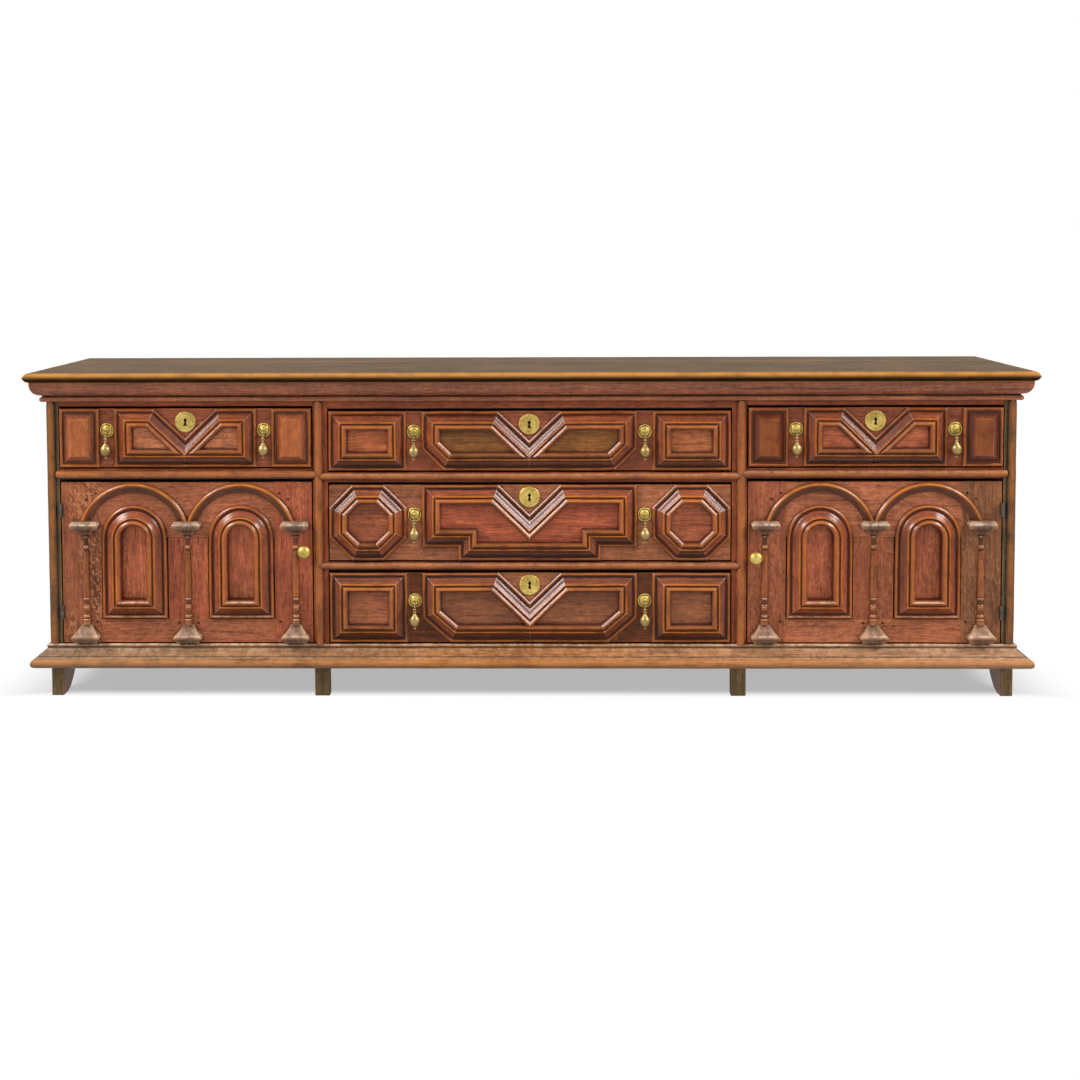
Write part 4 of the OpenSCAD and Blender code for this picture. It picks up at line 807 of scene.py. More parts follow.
def back():
    """The panelled back."""
    z0, z1 = BASE_Z + 70, CARCASS_H - 80
    inner, outer = MUNTIN_X, MUNTIN_X + MUNTIN_W
    shape, panels = Shape("back"), Shape("inside")
    board(shape, (-STILE_X, BACK_Y, BASE_Z), (STILE_X, CARCASS_D, z0))
    board(shape, (-STILE_X, BACK_Y, z1), (STILE_X, CARCASS_D, CARCASS_H))
    both(lambda s: board(shape, (s * inner, BACK_Y, z0), (s * outer, CARCASS_D, z1), "z"))
    shape.piece("rear_frame", "carcass", GOLDEN, "back_frame", "oak_frame")
    y = BACK_Y + (BACK_T - PANEL_T) / 2
    for x0, x1 in ((-inner, inner), (-STILE_X, -outer), (outer, STILE_X)):
        board(panels, (x0 - GROOVE_D, y, z0 - GROOVE_D), (x1 + GROOVE_D, y + PANEL_T, z1 + GROOVE_D))
    panels.piece("rear_panels", "carcass", INSIDE, "back_panels", "oak_inside")


def inside():
    """The partitions and floor boards, and the CAD's own runners, pegs and hinge plates."""
    outer, foot = PARTITION_X + PARTITION_T, BOTTOM_RAIL[0]
    shape = Shape("inside")
    both(lambda s: board(shape, (s * PARTITION_X, FRAME_T, foot), (s * outer, BACK_Y, CARCASS_H), "z"))
    shape.piece("inner_partitions", "carcass", INSIDE, "partitions", "oak_inside")
    shape = Shape("inside")
    z0, z1 = FLOOR_Z - 22, FLOOR_Z - 4
    y0, y1 = FRAME_T - GROOVE_D, BACK_Y + GROOVE_D
    board(shape, (-PARTITION_X, y0, z0), (PARTITION_X, y1, z1))
    both(lambda s: board(shape, (s * outer, y0, z0), (s * STILE_X, y1, z1)))
    shape.piece("bottom_boards", "carcass", INSIDE, "floor_boards", "oak_inside")
    dress("drawer_runners", PLAIN_OAK)
    dress("carcass_pegs", PEG_OAK)
    dress("hinge_plates", IRON)


# Distances from a bead's end or notch at which it has a row of points
BEAD_ROWS = np.array([0.0, 0.6, 1.5, 3, 4.5, 6, 8, 10, 11.5, 12.5])


def end_width(d, end, r):
    """Half width of a bead at a distance d from one end."""
    if end == "pointed":
        return d
    if end == "domed":
        return r * math.sqrt(1 - (1 - min(d, r) / r) ** 2)
    if end == "rounded":
        return r * math.sqrt(1 - (1 - min(d, 3.0) / 3) ** 2)
    return 2 * r


def half_round(shape, start, end, w, h=None, ends=("square", "square"), notches=(), look=None):
    """A half-round bead from start to end, both (x, z). notches are (place along it, side)."""
    r = w / 2
    h = h or r
    a, b = (np.array([x, 0.0, z]) for x, z in (start, end))
    length = np.linalg.norm(b - a)
    run = (b - a) / length
    across = np.array([run[2], 0, -run[0]])
    base = turned_edge(arc(0, 0, r, h, 180, 0, 20) + [(r, -0.5), (-r, -0.5)], 0.2)
    on_arc = base[:, 1] > -0.2
    t = [np.linspace(0, length, int(length / 16) + 2), BEAD_ROWS, length - BEAD_ROWS]
    for place, _ in notches:
        t += [place + BEAD_ROWS, place - BEAD_ROWS]
    rows, dirt = [], []
    for d in np.unique(np.clip(np.round(np.concatenate(t), 2), 0, length)):
        limit = [min(end_width(d, ends[0], r), end_width(length - d, ends[1], r))] * 2
        for place, side in notches:
            if abs(d - place) < r:
                k = 0 if side < 0 else 1
                limit[k] = min(limit[k], abs(d - place) + 0.3)
        s = np.clip(base[:, 0], -limit[0], limit[1])
        up = np.where(on_arc, h * np.sqrt(np.clip(1 - (s / r) ** 2, 0, 1)), base[:, 1])
        rows.append(a + d * run + s[:, None] * across - up[:, None] * Y)
        # Painted shade at the bead's foot and where a notch or end cuts it short
        cut = np.where(s < 0, limit[0] + s, limit[1] - s)
        soot_and_shade = np.where(cut < r, np.clip(1.1 - cut / 1.3, 0, 1), 0) if min(limit) < r else 0
        dirt.append(np.maximum(ramp(up, 2.6, 0), soot_and_shade))
    p = np.array(rows)
    wear = np.clip(base[:, 1] / h - 0.6, 0, 1) * 1.4
    level = abs(run[0]) > 0.5
    # A painted highlight along the upper side of the level beads
    painted_highlight = 0.26 * level * near(base[:, 0] / r, -0.45, 0.4)
    shape.add(p, capped(p), section_grain((p - a) @ run, base), wear, np.array(dirt), look, painted_highlight)


def beads():
    """The beads of the rails, muntins and corner stiles."""
    shape = Shape("bead")
    side_z, upper_z, lower_z = 599.0, 593.0, 352.5
    top_z, stile_bead_x, stile_bead_h = CARCASS_H - CORNICE_H, HALF_W - 12, 7.0
    upright = ("square", "domed")

    def one(s):
        notches = [(side_z - FLOOR_Z, s), (upper_z - FLOOR_Z, -s), (lower_z - FLOOR_Z, -s)]
        x = STILE_X + 8.5
        half_round(shape, (s * BEAD_X, side_z), (s * x, side_z), 22, ends=("pointed", "rounded"))
        half_round(shape, (s * BEAD_X, FLOOR_Z), (s * BEAD_X, top_z), MUNTIN_BEAD_W, None, upright, notches)
        x = s * stile_bead_x
        half_round(shape, (x, FLOOR_Z), (x, top_z), 24, stile_bead_h, upright, look="stile_bead")

    both(one)
    for z, w in ((upper_z, 22), (lower_z, 21)):
        half_round(shape, (-BEAD_X, z), (BEAD_X, z), w, ends=("pointed", "pointed"))
    shape.piece("beads", "carcass", MOULDED, "bead_mouldings", "oak_mouldings")


# Drawers


def unit(v):
    return v / np.linalg.norm(v)


def inset(points, w):
    """Corners of an outline moved inwards by w; its inside is on the left."""
    p = [np.array(q, float) for q in points]
    out = []
    for i, q in enumerate(p):
        a, b = unit(q - p[i - 1]), unit(p[(i + 1) % len(p)] - q)
        a, b = np.array([-a[1], a[0]]), np.array([-b[1], b[0]])
        out.append(q + w * (a + b) / (1 + a @ b))
    return out


def cut_strip(shape, section, at_start, at_end, x, z, dust, look, marks):
    """One length whose ends are given as functions of the distance in from its outer edge."""
    rows = []
    for at in (at_start, at_end):
        flat = np.array([at(s) for s in section[:, 0]])
        rows.append(np.column_stack([flat[:, 0] + x, -section[:, 1], flat[:, 1] + z]))
    wear, dirt = section_marks(section) if marks is None else marks
    # Dirt and painted shade at the moulding's foot
    dirt = np.maximum(dirt, ramp(section[:, 1], FOOT_SHADE_H, 0))
    run_between(shape, section, *rows, 20.0, 0.0, look, (wear, dirt), dust)


def mitre(p, inner, w):
    """The line of a mitre, as a function of the distance in from the outer edge."""
    p, inner = np.array(p, float), np.array(inner, float)
    return lambda s: p + (inner - p) * s / w


def v_foot(tip, foot):
    """Where the legs of a V run down into the bottom length: its end lines, and the feet of its legs."""
    fall = math.cos(V_ANGLE)
    meet = (tip[1] - foot) * fall / (1 + fall)
    spread = (1 + fall) / math.sin(V_ANGLE)

    def beside(side):
        return lambda s: np.array([tip[0] + side * max(0.0, (s - meet) * spread), foot + s])

    def leg(side):
        return lambda s: np.array([tip[0], tip[1] - s / fall]) if s <= meet else beside(side)(s)

    return beside, leg


def ring(shape, outline, w, section, x, z, look=None, merge=False):
    """A closed ring of mitred lengths. Where merge is set, the V runs down into the bottom length."""
    inner = inset(outline, w)
    n = len(outline)
    wide = w > 20
    marks = moulding_marks(section, w) if wide else None
    top_z = max(q[1] for q in outline)
    # Dust and a painted highlight in the mitres, stronger in the upper ones
    mitre_dust_and_highlight = [0.95 if q[1] > 0.6 * top_z else 0.35 for q in outline]
    lines = [mitre(p, q, w) for p, q in zip(outline, inner)]
    last_leg = (n - 1) // 2
    beside, leg = v_foot(outline[last_leg + 1], outline[0][1]) if merge else (None, None)
    for i in range(n):
        j = (i + 1) % n
        start, end, dust = lines[i], lines[j], (mitre_dust_and_highlight[i], mitre_dust_and_highlight[j])
        # The bottom length takes a darker copy of the colour, as painted shade
        if merge and i == 0:
            cut_strip(shape, section, start, beside(-1), x, z, dust, "under", marks)
            cut_strip(shape, section, beside(1), end, x, z, dust, "under", marks)
            continue
        if merge and i == last_leg:
            end = leg(1)
        if merge and i == last_leg + 1:
            start = leg(-1)
        across, up = outline[j][0] - outline[i][0], outline[j][1] - outline[i][1]
        # Slanting lengths high up and level bottom lengths take darker copies of the colour, as painted shade
        tone = look
        if abs(across) > 5 < abs(up) and min(outline[i][1], outline[j][1]) > 0.35 * top_z:
            tone = "slanting"
        elif abs(up) < 1 and across > 0 and wide:
            tone = "under"
        cut_strip(shape, section, start, end, x, z, dust, tone, marks)


def v_corners(h):
    return [(V_W, h), (0, h - V_H), (-V_W, h)]


def rectangle(half, h):
    return [(-half, 0), (half, 0), (half, h), (-half, h)]


def v_panel(half, h, cut):
    if not cut:
        return [(-half, 0), (half, 0), (half, h)] + v_corners(h) + [(-half, h)]
    w, up = cut
    return [(w - half, 0), (half - w, 0), (half, up), (half, h)] + v_corners(h) + [(-half, h), (-half, up)]


def stepped_panel(half, h, step_w=97.0, step_h=36.0):
    low = [(step_w - half, 0), (half - step_w, 0), (half - step_w, step_h), (half, step_h), (half, h)]
    return low + v_corners(h) + [(-half, h), (-half, step_h), (step_w - half, step_h)]


def octagon(half, h):
    c = 2 * half / (2 + math.sqrt(2))
    low = [(c - half, 0), (half - c, 0), (half, c), (half, h - c)]
    return low + [(half - c, h), (c - half, h), (-half, h - c), (-half, c)]


def raised_block(shape, half, h, x, z, look):
    """The bevelled block in a side drawer's small panel."""
    rim, bevel, rise, foot = 13.0, 17.5, 19.0, 5.0
    # Distance in, height, wear, and dirt with painted shade of each row
    levels = [(rim, 0.0, 0, 1), (rim, foot - 0.6, 0, 1), (rim + 0.5, foot, 0, 0.7)]
    levels += [(rim + bevel - 0.6, rise - 0.6, 0.3, 0), (rim + bevel, rise, 0.75, 0)]
    levels += [(rim + bevel + 1.2, rise, 0.35, 0)]
    rows = []
    for d, out, _, _ in levels:
        corners = [(d - half, d), (half - d, d), (half - d, h - d), (d - half, h - d)]
        sides = [np.linspace(a, b, 9)[:-1] for a, b in zip(corners, corners[1:] + corners[:1])]
        rows.append([(x + q[0], -out, z + q[1]) for q in np.concatenate(sides)])
    p = np.array(rows)
    n, m = p.shape[:2]
    wear, dirt = np.array(levels)[:, 2:].T[..., None]
    faces = quads(n, m, True) + [list(range((n - 1) * m, n * m))]
    shape.add(p, faces, p[..., [2, 0, 1]], wear, dirt, look)


def keyhole_shade(shape, x, z):
    """A black sheet of painted shade for the mouth of a keyhole, seen through the hole in its plate."""
    half_w, low, high, proud = 6.0, -12.0, 11.0, 0.12
    corners = ((-half_w, low), (half_w, low), (half_w, high), (-half_w, high))
    p = np.array([(x + a, -proud, z + b) for a, b in corners])
    shape.add(p, [[0, 1, 2, 3]], p, 0.0, BLACK_SHADE, "peg")


def bead_profile(z, h, r, n, steps=8):
    """A turned bead h high with radius r, between necks of radius n."""
    return arc(n, z + h / 2, r - n, h / 2, -90, 90, steps)


def pear(name, place):
    """A pear drop on its eye: a slim neck with two beads, a full body and a small tip."""
    profile = [(0.05, -DROP_L), (2.4, -69.4), (3.6, -67.6), (3.4, -65.8), (2.2, -64.2), (2.3, -63)]
    profile += arc(0, -47.5, 14, 16, -80, 38, 11)
    profile += [(8.6, -35), (6, -31.6), (3.8, -29), (3, -27)] + bead_profile(-26.5, 5.5, 5.0, 2.6, 6)
    profile += bead_profile(-19.5, 5.5, 5.4, 2.4, 6) + [(2.4, -13), (2.6, -4), (2.4, -2.2)]
    p = lathe(turned_edge(profile, 0.3, False), np.radians(np.arange(0, 360, 15)))
    shape = Shape("peg", 0.0)
    shape.add(p + np.array(place), capped(p), p)
    n, bore_r, eye_r, half = 18, 1.65, 4.0, 2.5
    circles = arc(0, 0, bore_r, bore_r, 0, 360, n)[:-1] + arc(0, 0, eye_r, eye_r, 0, 360, n)[:-1]
    q = [(s, *point) for s in (-half, half) for point in circles]
    faces = []
    for i in range(n):
        j = (i + 1) % n
        faces += [[i, j, n + j, n + i], [2 * n + i, 3 * n + i, 3 * n + j, 2 * n + j]]
        faces += [[n + i, n + j, 3 * n + j, 3 * n + i], [i, 2 * n + i, 2 * n + j, j]]
    shape.add(np.array(q) + np.array(place), faces, q)
    shape.piece(f"{name}_pear", name, PALE_BRASS, name, "brass")


def drawer_front(name):
    """The front board, its colour changing from panel to panel, and painted shade in the mouth of its
    keyhole.
    """
    x, z, half, h, small, cut = DRAWERS[name]
    strip, panel = f"{name}_strip", half - small
    reach = panel - STRIP_W - MOULDING_W + 6
    shape = Shape(f"{name}_drawer")
    zones = [(-half, -panel, f"{name}_small_a"), (panel, half, f"{name}_small_b")]
    zones += [(-panel, -reach, strip), (reach, panel, strip)]
    board(shape, (x - half, 0, z), (x + half, FRONT_T, z + h), r=1.4, step=12, zones=zones)
    out, up = np.abs(shape.points[-1][:, 0] - x), shape.points[-1][:, 2] - z
    hues = shape.marks[-1][:, HUE]
    hues[out < V_W * (up - h + V_H) / V_H + 14] = hue("low_drawer" if name == "low" else strip)
    if cut:
        w, high = cut
        hues[(up < high) & (out > panel - STRIP_W - w * (1 - up / high) - 6) & (out < panel)] = hue(strip)
    if name == "middle":
        under_step = (out > reach - 60) & (out < panel) & (up < 50)
        around_octagon = (np.abs(out - half + small / 2) + np.abs(up - h / 2) > 142) & (out > panel)
        hues[under_step | around_octagon] = hue(strip)
    keyhole_shade(shape, x, z + h - KEY_DOWN[name])
    shape.piece(f"{name}_front", f"{name}_drawer", OAK, f"{name}_drawer_front", "oak_panels", FRONT_T)


def drawer_mouldings(name):
    """The wide panel between two small ones."""
    x, z, half, h, small, cut = DRAWERS[name]
    shape = Shape("moulding")
    section = moulding_section(MOULDING_W)
    big = half - small - STRIP_W
    outline = stepped_panel(big, h) if name == "middle" else v_panel(big, h, cut)
    merge = h - V_H < MOULDING_W * (1 + 1 / math.cos(V_ANGLE))
    # The low drawer's mouldings take a darker copy of the colour, as painted shade
    tone = "low_moulding" if name == "low" else None
    ring(shape, outline, MOULDING_W, section, x, z, tone, merge)
    for s in (-1, 1):
        at = x + s * (half - small / 2)
        if name in ("left", "right"):
            ring(shape, rectangle(small / 2, h), 13.0, small_section(), at, z)
            raised_block(shape, small / 2, h, at, z, f"{name}_block")
        else:
            outline = octagon(small / 2, h) if name == "middle" else rectangle(small / 2, h)
            ring(shape, outline, MOULDING_W, section, at, z, tone)
    shape.piece(f"{name}_moulds", f"{name}_drawer", MOULDED, f"{name}_drawer_mouldings", "oak_mouldings")


def drawer_box(name):
    """Bottom, back and two grooved sides."""
    x, z, half, h, _, _ = DRAWERS[name]
    shape = Shape("inside", 0.5)
    bottom_t, back_t, web_t, groove_w, runner_gap = 8.0, 10.0, 7.0, 17.0, 4.0
    floor_z, top_z = z + bottom_t, z + h - 12
    inner = half - BOX_T
    board(shape, (x - half, FRONT_T, z), (x + half, DRAWER_D, floor_z))
    board(shape, (x - inner, DRAWER_D - back_t, floor_z), (x + inner, DRAWER_D, top_z))
    groove = z - runner_gap + (h + 9) / 2 - groove_w / 2
    for s in (-1, 1):
        a, b, web = x + s * inner, x + s * half, x + s * (half - web_t)
        board(shape, (a, FRONT_T, floor_z), (b, DRAWER_D, groove), "y")
        board(shape, (a, FRONT_T, groove + groove_w), (b, DRAWER_D, top_z), "y")
        board(shape, (a, FRONT_T, groove - 1), (web, DRAWER_D, groove + groove_w + 1), "y")
    shape.piece(f"{name}_box", f"{name}_drawer", INSIDE, f"{name}_drawer_box", "oak_inside")


def drawer(name):
    x, z, half, h, small, _ = DRAWERS[name]
    drawer_front(name)
    drawer_mouldings(name)
    drawer_box(name)
    dress(f"{name}_drawer_metalwork", BRASS)
    out, up = half - small - STRIP_W / 2, z + h - PLATE_DOWN[name] - PIVOT_DROP
    pear(f"{name}_drawer_drop_a", (x - out, -PIVOT_OUT, up))
    pear(f"{name}_drawer_drop_b", (x + out, -PIVOT_OUT, up))


# Doors

DOOR_HALF, DOOR_H, DOOR_T = 335.5, 432.5, 22.0
DOOR_Z = FLOOR_Z + 3
OUTER, INNER = DOOR_HALF - 105.5, DOOR_HALF - 101.5
MUNTIN_HALF = 107.5 / 2
PANEL_HALF = (OUTER + INNER - 2 * MUNTIN_HALF) / 4
PANEL_XS = (OUTER - PANEL_HALF, PANEL_HALF - INNER)
MIDDLE_X = (PANEL_XS[0] + PANEL_XS[1]) / 2
SPRING_H, BOTTOM_RAIL_H, RECESS = DOOR_H - 149.5, 63.0, 8.0
PANEL_R = PANEL_HALF - 2.5
CAPITAL_Z, CAPITAL_H, PLINTH_H, LIFT = SPRING_H + 6.5, 38.0, 47.0, 2.0
BLOCK_LESS = 9.0  # how much less than its half width a capital or plinth stands out
ARCH_FOOT = CAPITAL_Z + CAPITAL_H + LIFT
ARCH_SPAN, ARCH_RISE = (PANEL_XS[0] - PANEL_XS[1]) / 2 - 0.4, DOOR_H - 2 - ARCH_FOOT
ARCH_R = (ARCH_SPAN**2 + ARCH_RISE**2) / (2 * ARCH_RISE)
ARCH_Z = DOOR_H - 2 - ARCH_R
SHAFT_L = CAPITAL_Z - PLINTH_H - 0.4

# Height and half width
CAPITAL_STEPS = [(0, 15.5), (6, 18), (10, 22), (14, 26.5), (15.5, 32.5), (18, 35)]
CAPITAL_STEPS += [(24, 37.5), (29, 37), (34, 34.5), (CAPITAL_H, 31.5)]
PLINTH_STEPS = [(0, 30), (6, 31), (9.5, 35), (12, 38), (16, 38), (18, 35)]
PLINTH_STEPS += [(27, 27.5), (35, 21), (42, 16.5), (PLINTH_H, 14.5)]

# Heights, and how strongly painted highlights lighten them
CAPITAL_HIGHLIGHT = ([0, 10, 13, 20, 25, 27.5, 30, 32, 35, 38], [0, 0.03, 0, 0.15, 0.05, 0.4, 1.2, 0.6, 0.4, 0.05])
PLINTH_HIGHLIGHT = (
    [0, 4, 7, 8.5, 10, 13, 17, 19.5, 22, 30, 40, 47],
    [0, 0, 0.2, 0.85, 0, 0, 0.1, 0.9, 0.28, 0.22, 0.15, 0.35],
)
GLINTS = (14, 24, 48, 71, 210, 237)

# Around a block, from its left end over its front to its right end: shares of its half width and depth
AROUND = np.array([-1, -1, -1, -0.96, -0.5, 0, 0.5, 0.96, 1, 1, 1])
DEEP = np.array([0, 0.5, 1, 1, 1, 1, 1, 1, 1, 0.5, 0])
ON_CORNER = np.array([0, 0, 1, 1, 0, 0, 0, 1, 1, 0, 0])


def at_door(side, p):
    """Door coordinates (hinge edge at +x) to the carcass's, mirrored for the left door."""
    p = np.array(p, float)
    p[..., 0] = side * (p[..., 0] + SIDE_X)
    p[..., 2] += DOOR_Z
    return p


def mirror_faces(shape, side, first):
    """Turns round the faces added since first, for a piece mirrored to the left door."""
    if side < 0:
        shape.faces[first:] = [f[::-1] for f in shape.faces[first:]]


def add_at_door(shape, side, p, faces, *marks):
    first = len(shape.faces)
    shape.add(at_door(side, p), faces, *marks)
    mirror_faces(shape, side, first)


def door_board(shape, side, low, high, grain="z", look=None):
    board(shape, at_door(side, low), at_door(side, high), grain, look=look)


def head_rail(shape, side, look):
    """The rail over the panels, its underside cut to two arches hidden under their mouldings."""
    r, ease = PANEL_R - 22, 1.2
    xs = [c - r * math.cos(t) for c in PANEL_XS for t in np.linspace(0, math.pi, 25)]
    xs = np.unique(np.round([*xs, *np.linspace(-INNER, OUTER, 24)], 3))[:, None]
    low = SPRING_H
    for c in PANEL_XS:
        low = np.maximum(low, SPRING_H + np.sqrt(np.clip(r * r - (xs - c) ** 2, 0, None)))
    shares = [0.0, 0.01, 0.25, 0.5, 0.75, 0.985, 1.0]
    section = [(DOOR_T, t) for t in shares] + [(DOOR_T - ease, 1.0), (ease, 1.0)]
    section += [(0.0, t) for t in shares[::-1]] + [(ease, 0.0), (DOOR_T - ease, 0.0)]
    y, t = np.array(section).T
    # The front and back faces stop just short of the edges, which are eased
    short = np.where((y == 0) | (y == DOOR_T), ease, 0.0)
    p = np.stack(np.broadcast_arrays(xs, y, low + short + (DOOR_H - low - 2 * short) * t), -1)
    n, m = p.shape[:2]
    faces = quads(n, m, True) + first_and_last(n, m)
    add_at_door(shape, side, p, faces, p[..., [0, 2, 1]], (t == 0) | (t == 1), 0.0, look)


def around(shape, side, c, z, section, start, end, marks, look=None):
    """A section (radius, height) carried round an arch. Each of its points has its own two angles."""
    t = np.linspace(0, 1, 41)[:, None]
    angles = np.radians(start * (1 - t) + end * t) + 0 * section[:, 0]
    r, h = section[:, 0], section[:, 1]
    p = np.stack([c + r * np.cos(angles), -h + 0 * angles, z + r * np.sin(angles)], -1)
    grain = section_grain(angles * (r.max() + r.min()) / 2, section)
    add_at_door(shape, side, p, capped(p), grain, *marks, look)


def panel_moulding(shape, side, c):
    """The arch-headed moulding round a panel, with painted highlights on the beads of its bottom length."""
    w, a = DOOR_MOULDING_W, PANEL_R
    foot = BOTTOM_RAIL_H + 2.5
    section = moulding_section(w, -RECESS)
    s, h = section[:, 0], section[:, 1]
    wear, dirt = moulding_marks(section, w)
    # Dirt and painted shade at the foot of its outer half
    marks = (wear, np.maximum(dirt, ramp(h, FOOT_SHADE_H, 0) * (s < w / 2)))
    first = len(shape.faces)

    def go(x0, z0, d0, x1, z1, d1, dust):
        q0, q1 = at_door(side, (c + x0, 0, z0)), at_door(side, (c + x1, 0, z1))
        d0, d1 = np.array([side * d0[0], 0, d0[1]]), np.array([side * d1[0], 0, d1[1]])
        sweep(shape, section, (q0, d0, -Y), (q1, d1, -Y), step=20, dust=dust, marks=marks)

    go(-a, foot, (1, 1), a, foot, (-1, 1), (0.5, 0.5))
    # Painted highlights on the outer and inner beads of the bottom length
    painted_highlight = np.maximum(0.75 * near(s * 50 / w, 45, 3.5), 0.6 * near(s * 50 / w, 5.5, 3))
    dust = shape.marks[-1][:, DUST_AND_HIGHLIGHT]
    dust[:] = np.maximum(dust, np.tile(painted_highlight, len(dust) // len(s)))
    go(a, foot, (-1, 1), a, SPRING_H, (-1, 0), (0.5, 0))
    go(-a, SPRING_H, (1, 0), -a, foot, (1, 1), (0, 0.5))
    mirror_faces(shape, side, first)
    around(shape, side, c, SPRING_H, np.column_stack([a - s, h]), 0.0, 180.0, marks)


def big_arch(shape, side, c):
    """The half-round arch that springs from two capitals."""
    r = ARCH_R
    points = [(0, 0), (0, 6.8), (3.6, 10.6), (5.5, 11.8), (7.5, 11.4), (11, 8.6), (15.5, 6.2)]
    points += [(20, 5), (23, 4.6), (24, 3.6), (24, 0)]
    section = turned_edge([(r - a, b) for a, b in points], 0.7)
    inwards = r - section[:, 0]
    wear = np.clip(1.3 - np.abs(inwards - 5) / 4, 0, 1)
    # The inner part, which faces down at the top, is darkened as painted shade, and the foot as dirt and
    # painted shade
    dirt = np.maximum(np.clip((inwards - 7) / 12, 0, 0.62), ramp(section[:, 1], FOOT_SHADE_H, 0))
    lift = np.degrees(np.arcsin((ARCH_FOOT - ARCH_Z) / section[:, 0]))
    around(shape, side, c, ARCH_Z, section, lift, 180 - lift, (wear, dirt), "arch")


def mitred_block(shape, side, x, z, steps, painted_highlight):
    """A capital or plinth: the same section on its front and both ends."""
    profile = finer(turned_edge([(b, a) for a, b in steps], 0.8, closed=False), 1.2)
    wear, dirt = section_marks(profile[::-1], closed=False, span=2.0)
    out, up = profile.T[..., None]
    p = np.stack(np.broadcast_arrays(x + out * AROUND, (BLOCK_LESS - out) * DEEP, z + up), -1)
    n, m = p.shape[:2]
    faces = [f[::-1] for f in quads(n, m, False)] + first_and_last(n, m)
    wear = np.maximum(wear[::-1, None], 0.8 * ON_CORNER)
    # Painted highlight lines by height, from the table given
    add_at_door(shape, side, p, faces, p[..., [2, 0, 1]], wear, dirt[::-1, None], None, np.interp(up, *painted_highlight))


def shaft_profile():
    points = [(12.5, 0), (11.5, 6), (11, 10)] + bead_profile(11.5, 4, 12.6, 10.5, 5)
    points += bead_profile(16.5, 11, 11.6, 8) + [(7.4, 29), (7.4, 33)]
    points += bead_profile(34.5, 21, 11.4, 6.2, 10) + [(7.2, 57), (7.2, 64)]
    points += bead_profile(65.5, 8, 10.6, 8, 6)
    points += [(9.2, 75), (9.9, 80), (9.8, 110), (8.7, 153), (7.6, 196), (6.2, 198), (6.2, 202)]
    points += bead_profile(203, 11, 9.8, 6.4) + [(5.6, 216), (5.6, 231)] + bead_profile(232, 7, 7.8, 5.8, 6)
    return turned_edge(points + [(6.4, SHAFT_L)], 0.5, closed=False)


def shaft(shape, side, x, z):
    """A half-turned shaft, darker in its necks, with painted shade on its sides and painted glints on its
    beads.
    """
    profile = shaft_profile()
    wear, dirt = section_marks(profile[::-1], closed=False, span=2.0)
    degrees = np.linspace(180, 360, 19)
    p = lathe(profile, np.radians(degrees)) + (x, 0, z)
    r, up = profile.T[..., None]
    turn = np.abs(degrees - 270)
    # Darker necks, and painted shade on the sides that turn away from the front
    necks = np.clip((8.2 - r) / 1.4, 0, 0.9) * ((up < 70) | (up > 192))
    dirt = np.maximum(np.maximum(necks, dirt[::-1, None]), 0.75 * ramp(turn, 45, 80))
    glint = np.clip(sum(near(up, place, 2.2) for place in GLINTS), 0, 1)
    painted_highlight = glint * np.clip(1.3 - np.abs(turn - 8) / 26, 0, 1)
    faces = quads(*p.shape[:2], False)
    add_at_door(shape, side, p, faces, p[..., [2, 0, 1]], wear[::-1, None], dirt, "shaft", painted_highlight)


def peg(shape, side, x, z):
    """The slightly domed head of a peg in a dark ring."""
    rings = ((3.9, 0.05), (3.4, 0.3), (3.1, 0.8), (1.2, 0.9))
    p = lathe(rings, np.radians(np.arange(0, 360, 30)))
    p = p[..., [0, 2, 1]] * (1, -1, 1) + (x, 0, z)
    n, m = p.shape[:2]
    faces = quads(n, m, True) + [list(range((n - 1) * m, n * m))]
    add_at_door(shape, side, p, faces, p, 0.0, np.array([1, 1, 0.5, 0])[:, None], "peg")


def door_frame(name, side):
    """The boards of a door's frame and their pegs."""
    body = f"{name}_door"
    muntin, rail = f"{body}_muntin", f"{body}_rail"
    shape = Shape(rail)
    left, right = MIDDLE_X - MUNTIN_HALF + 0.05, MIDDLE_X + MUNTIN_HALF - 0.05
    door_board(shape, side, (OUTER, 0, 0), (DOOR_HALF, DOOR_T, DOOR_H), "z", f"{body}_stile")
    door_board(shape, side, (-DOOR_HALF, 0, 0), (-INNER, DOOR_T, DOOR_H), "z", muntin)
    door_board(shape, side, (-INNER, 0, 0), (OUTER, DOOR_T, BOTTOM_RAIL_H), "x", rail)
    door_board(shape, side, (left, 0, BOTTOM_RAIL_H), (right, DOOR_T, SPRING_H), "z", muntin)
    head_rail(shape, side, rail)
    head_pegs, foot_peg, muntin_peg = [(14, DOOR_H - 30), (38, DOOR_H - 46)], (14, 56.0), (26, 53.0)
    places = [(OUTER + a, z) for a, z in head_pegs] + [(-INNER - a, z) for a, z in head_pegs]
    places += [(OUTER + foot_peg[0], foot_peg[1]), (-INNER - foot_peg[0], foot_peg[1])]
    places += [(MIDDLE_X - muntin_peg[0], muntin_peg[1]), (MIDDLE_X + muntin_peg[0], muntin_peg[1])]
    for x, z in places:
        peg(shape, side, x, z)
    shape.piece(f"{name}_door_boards", body, OAK, f"{body}_frame", "oak_frame", DOOR_T)


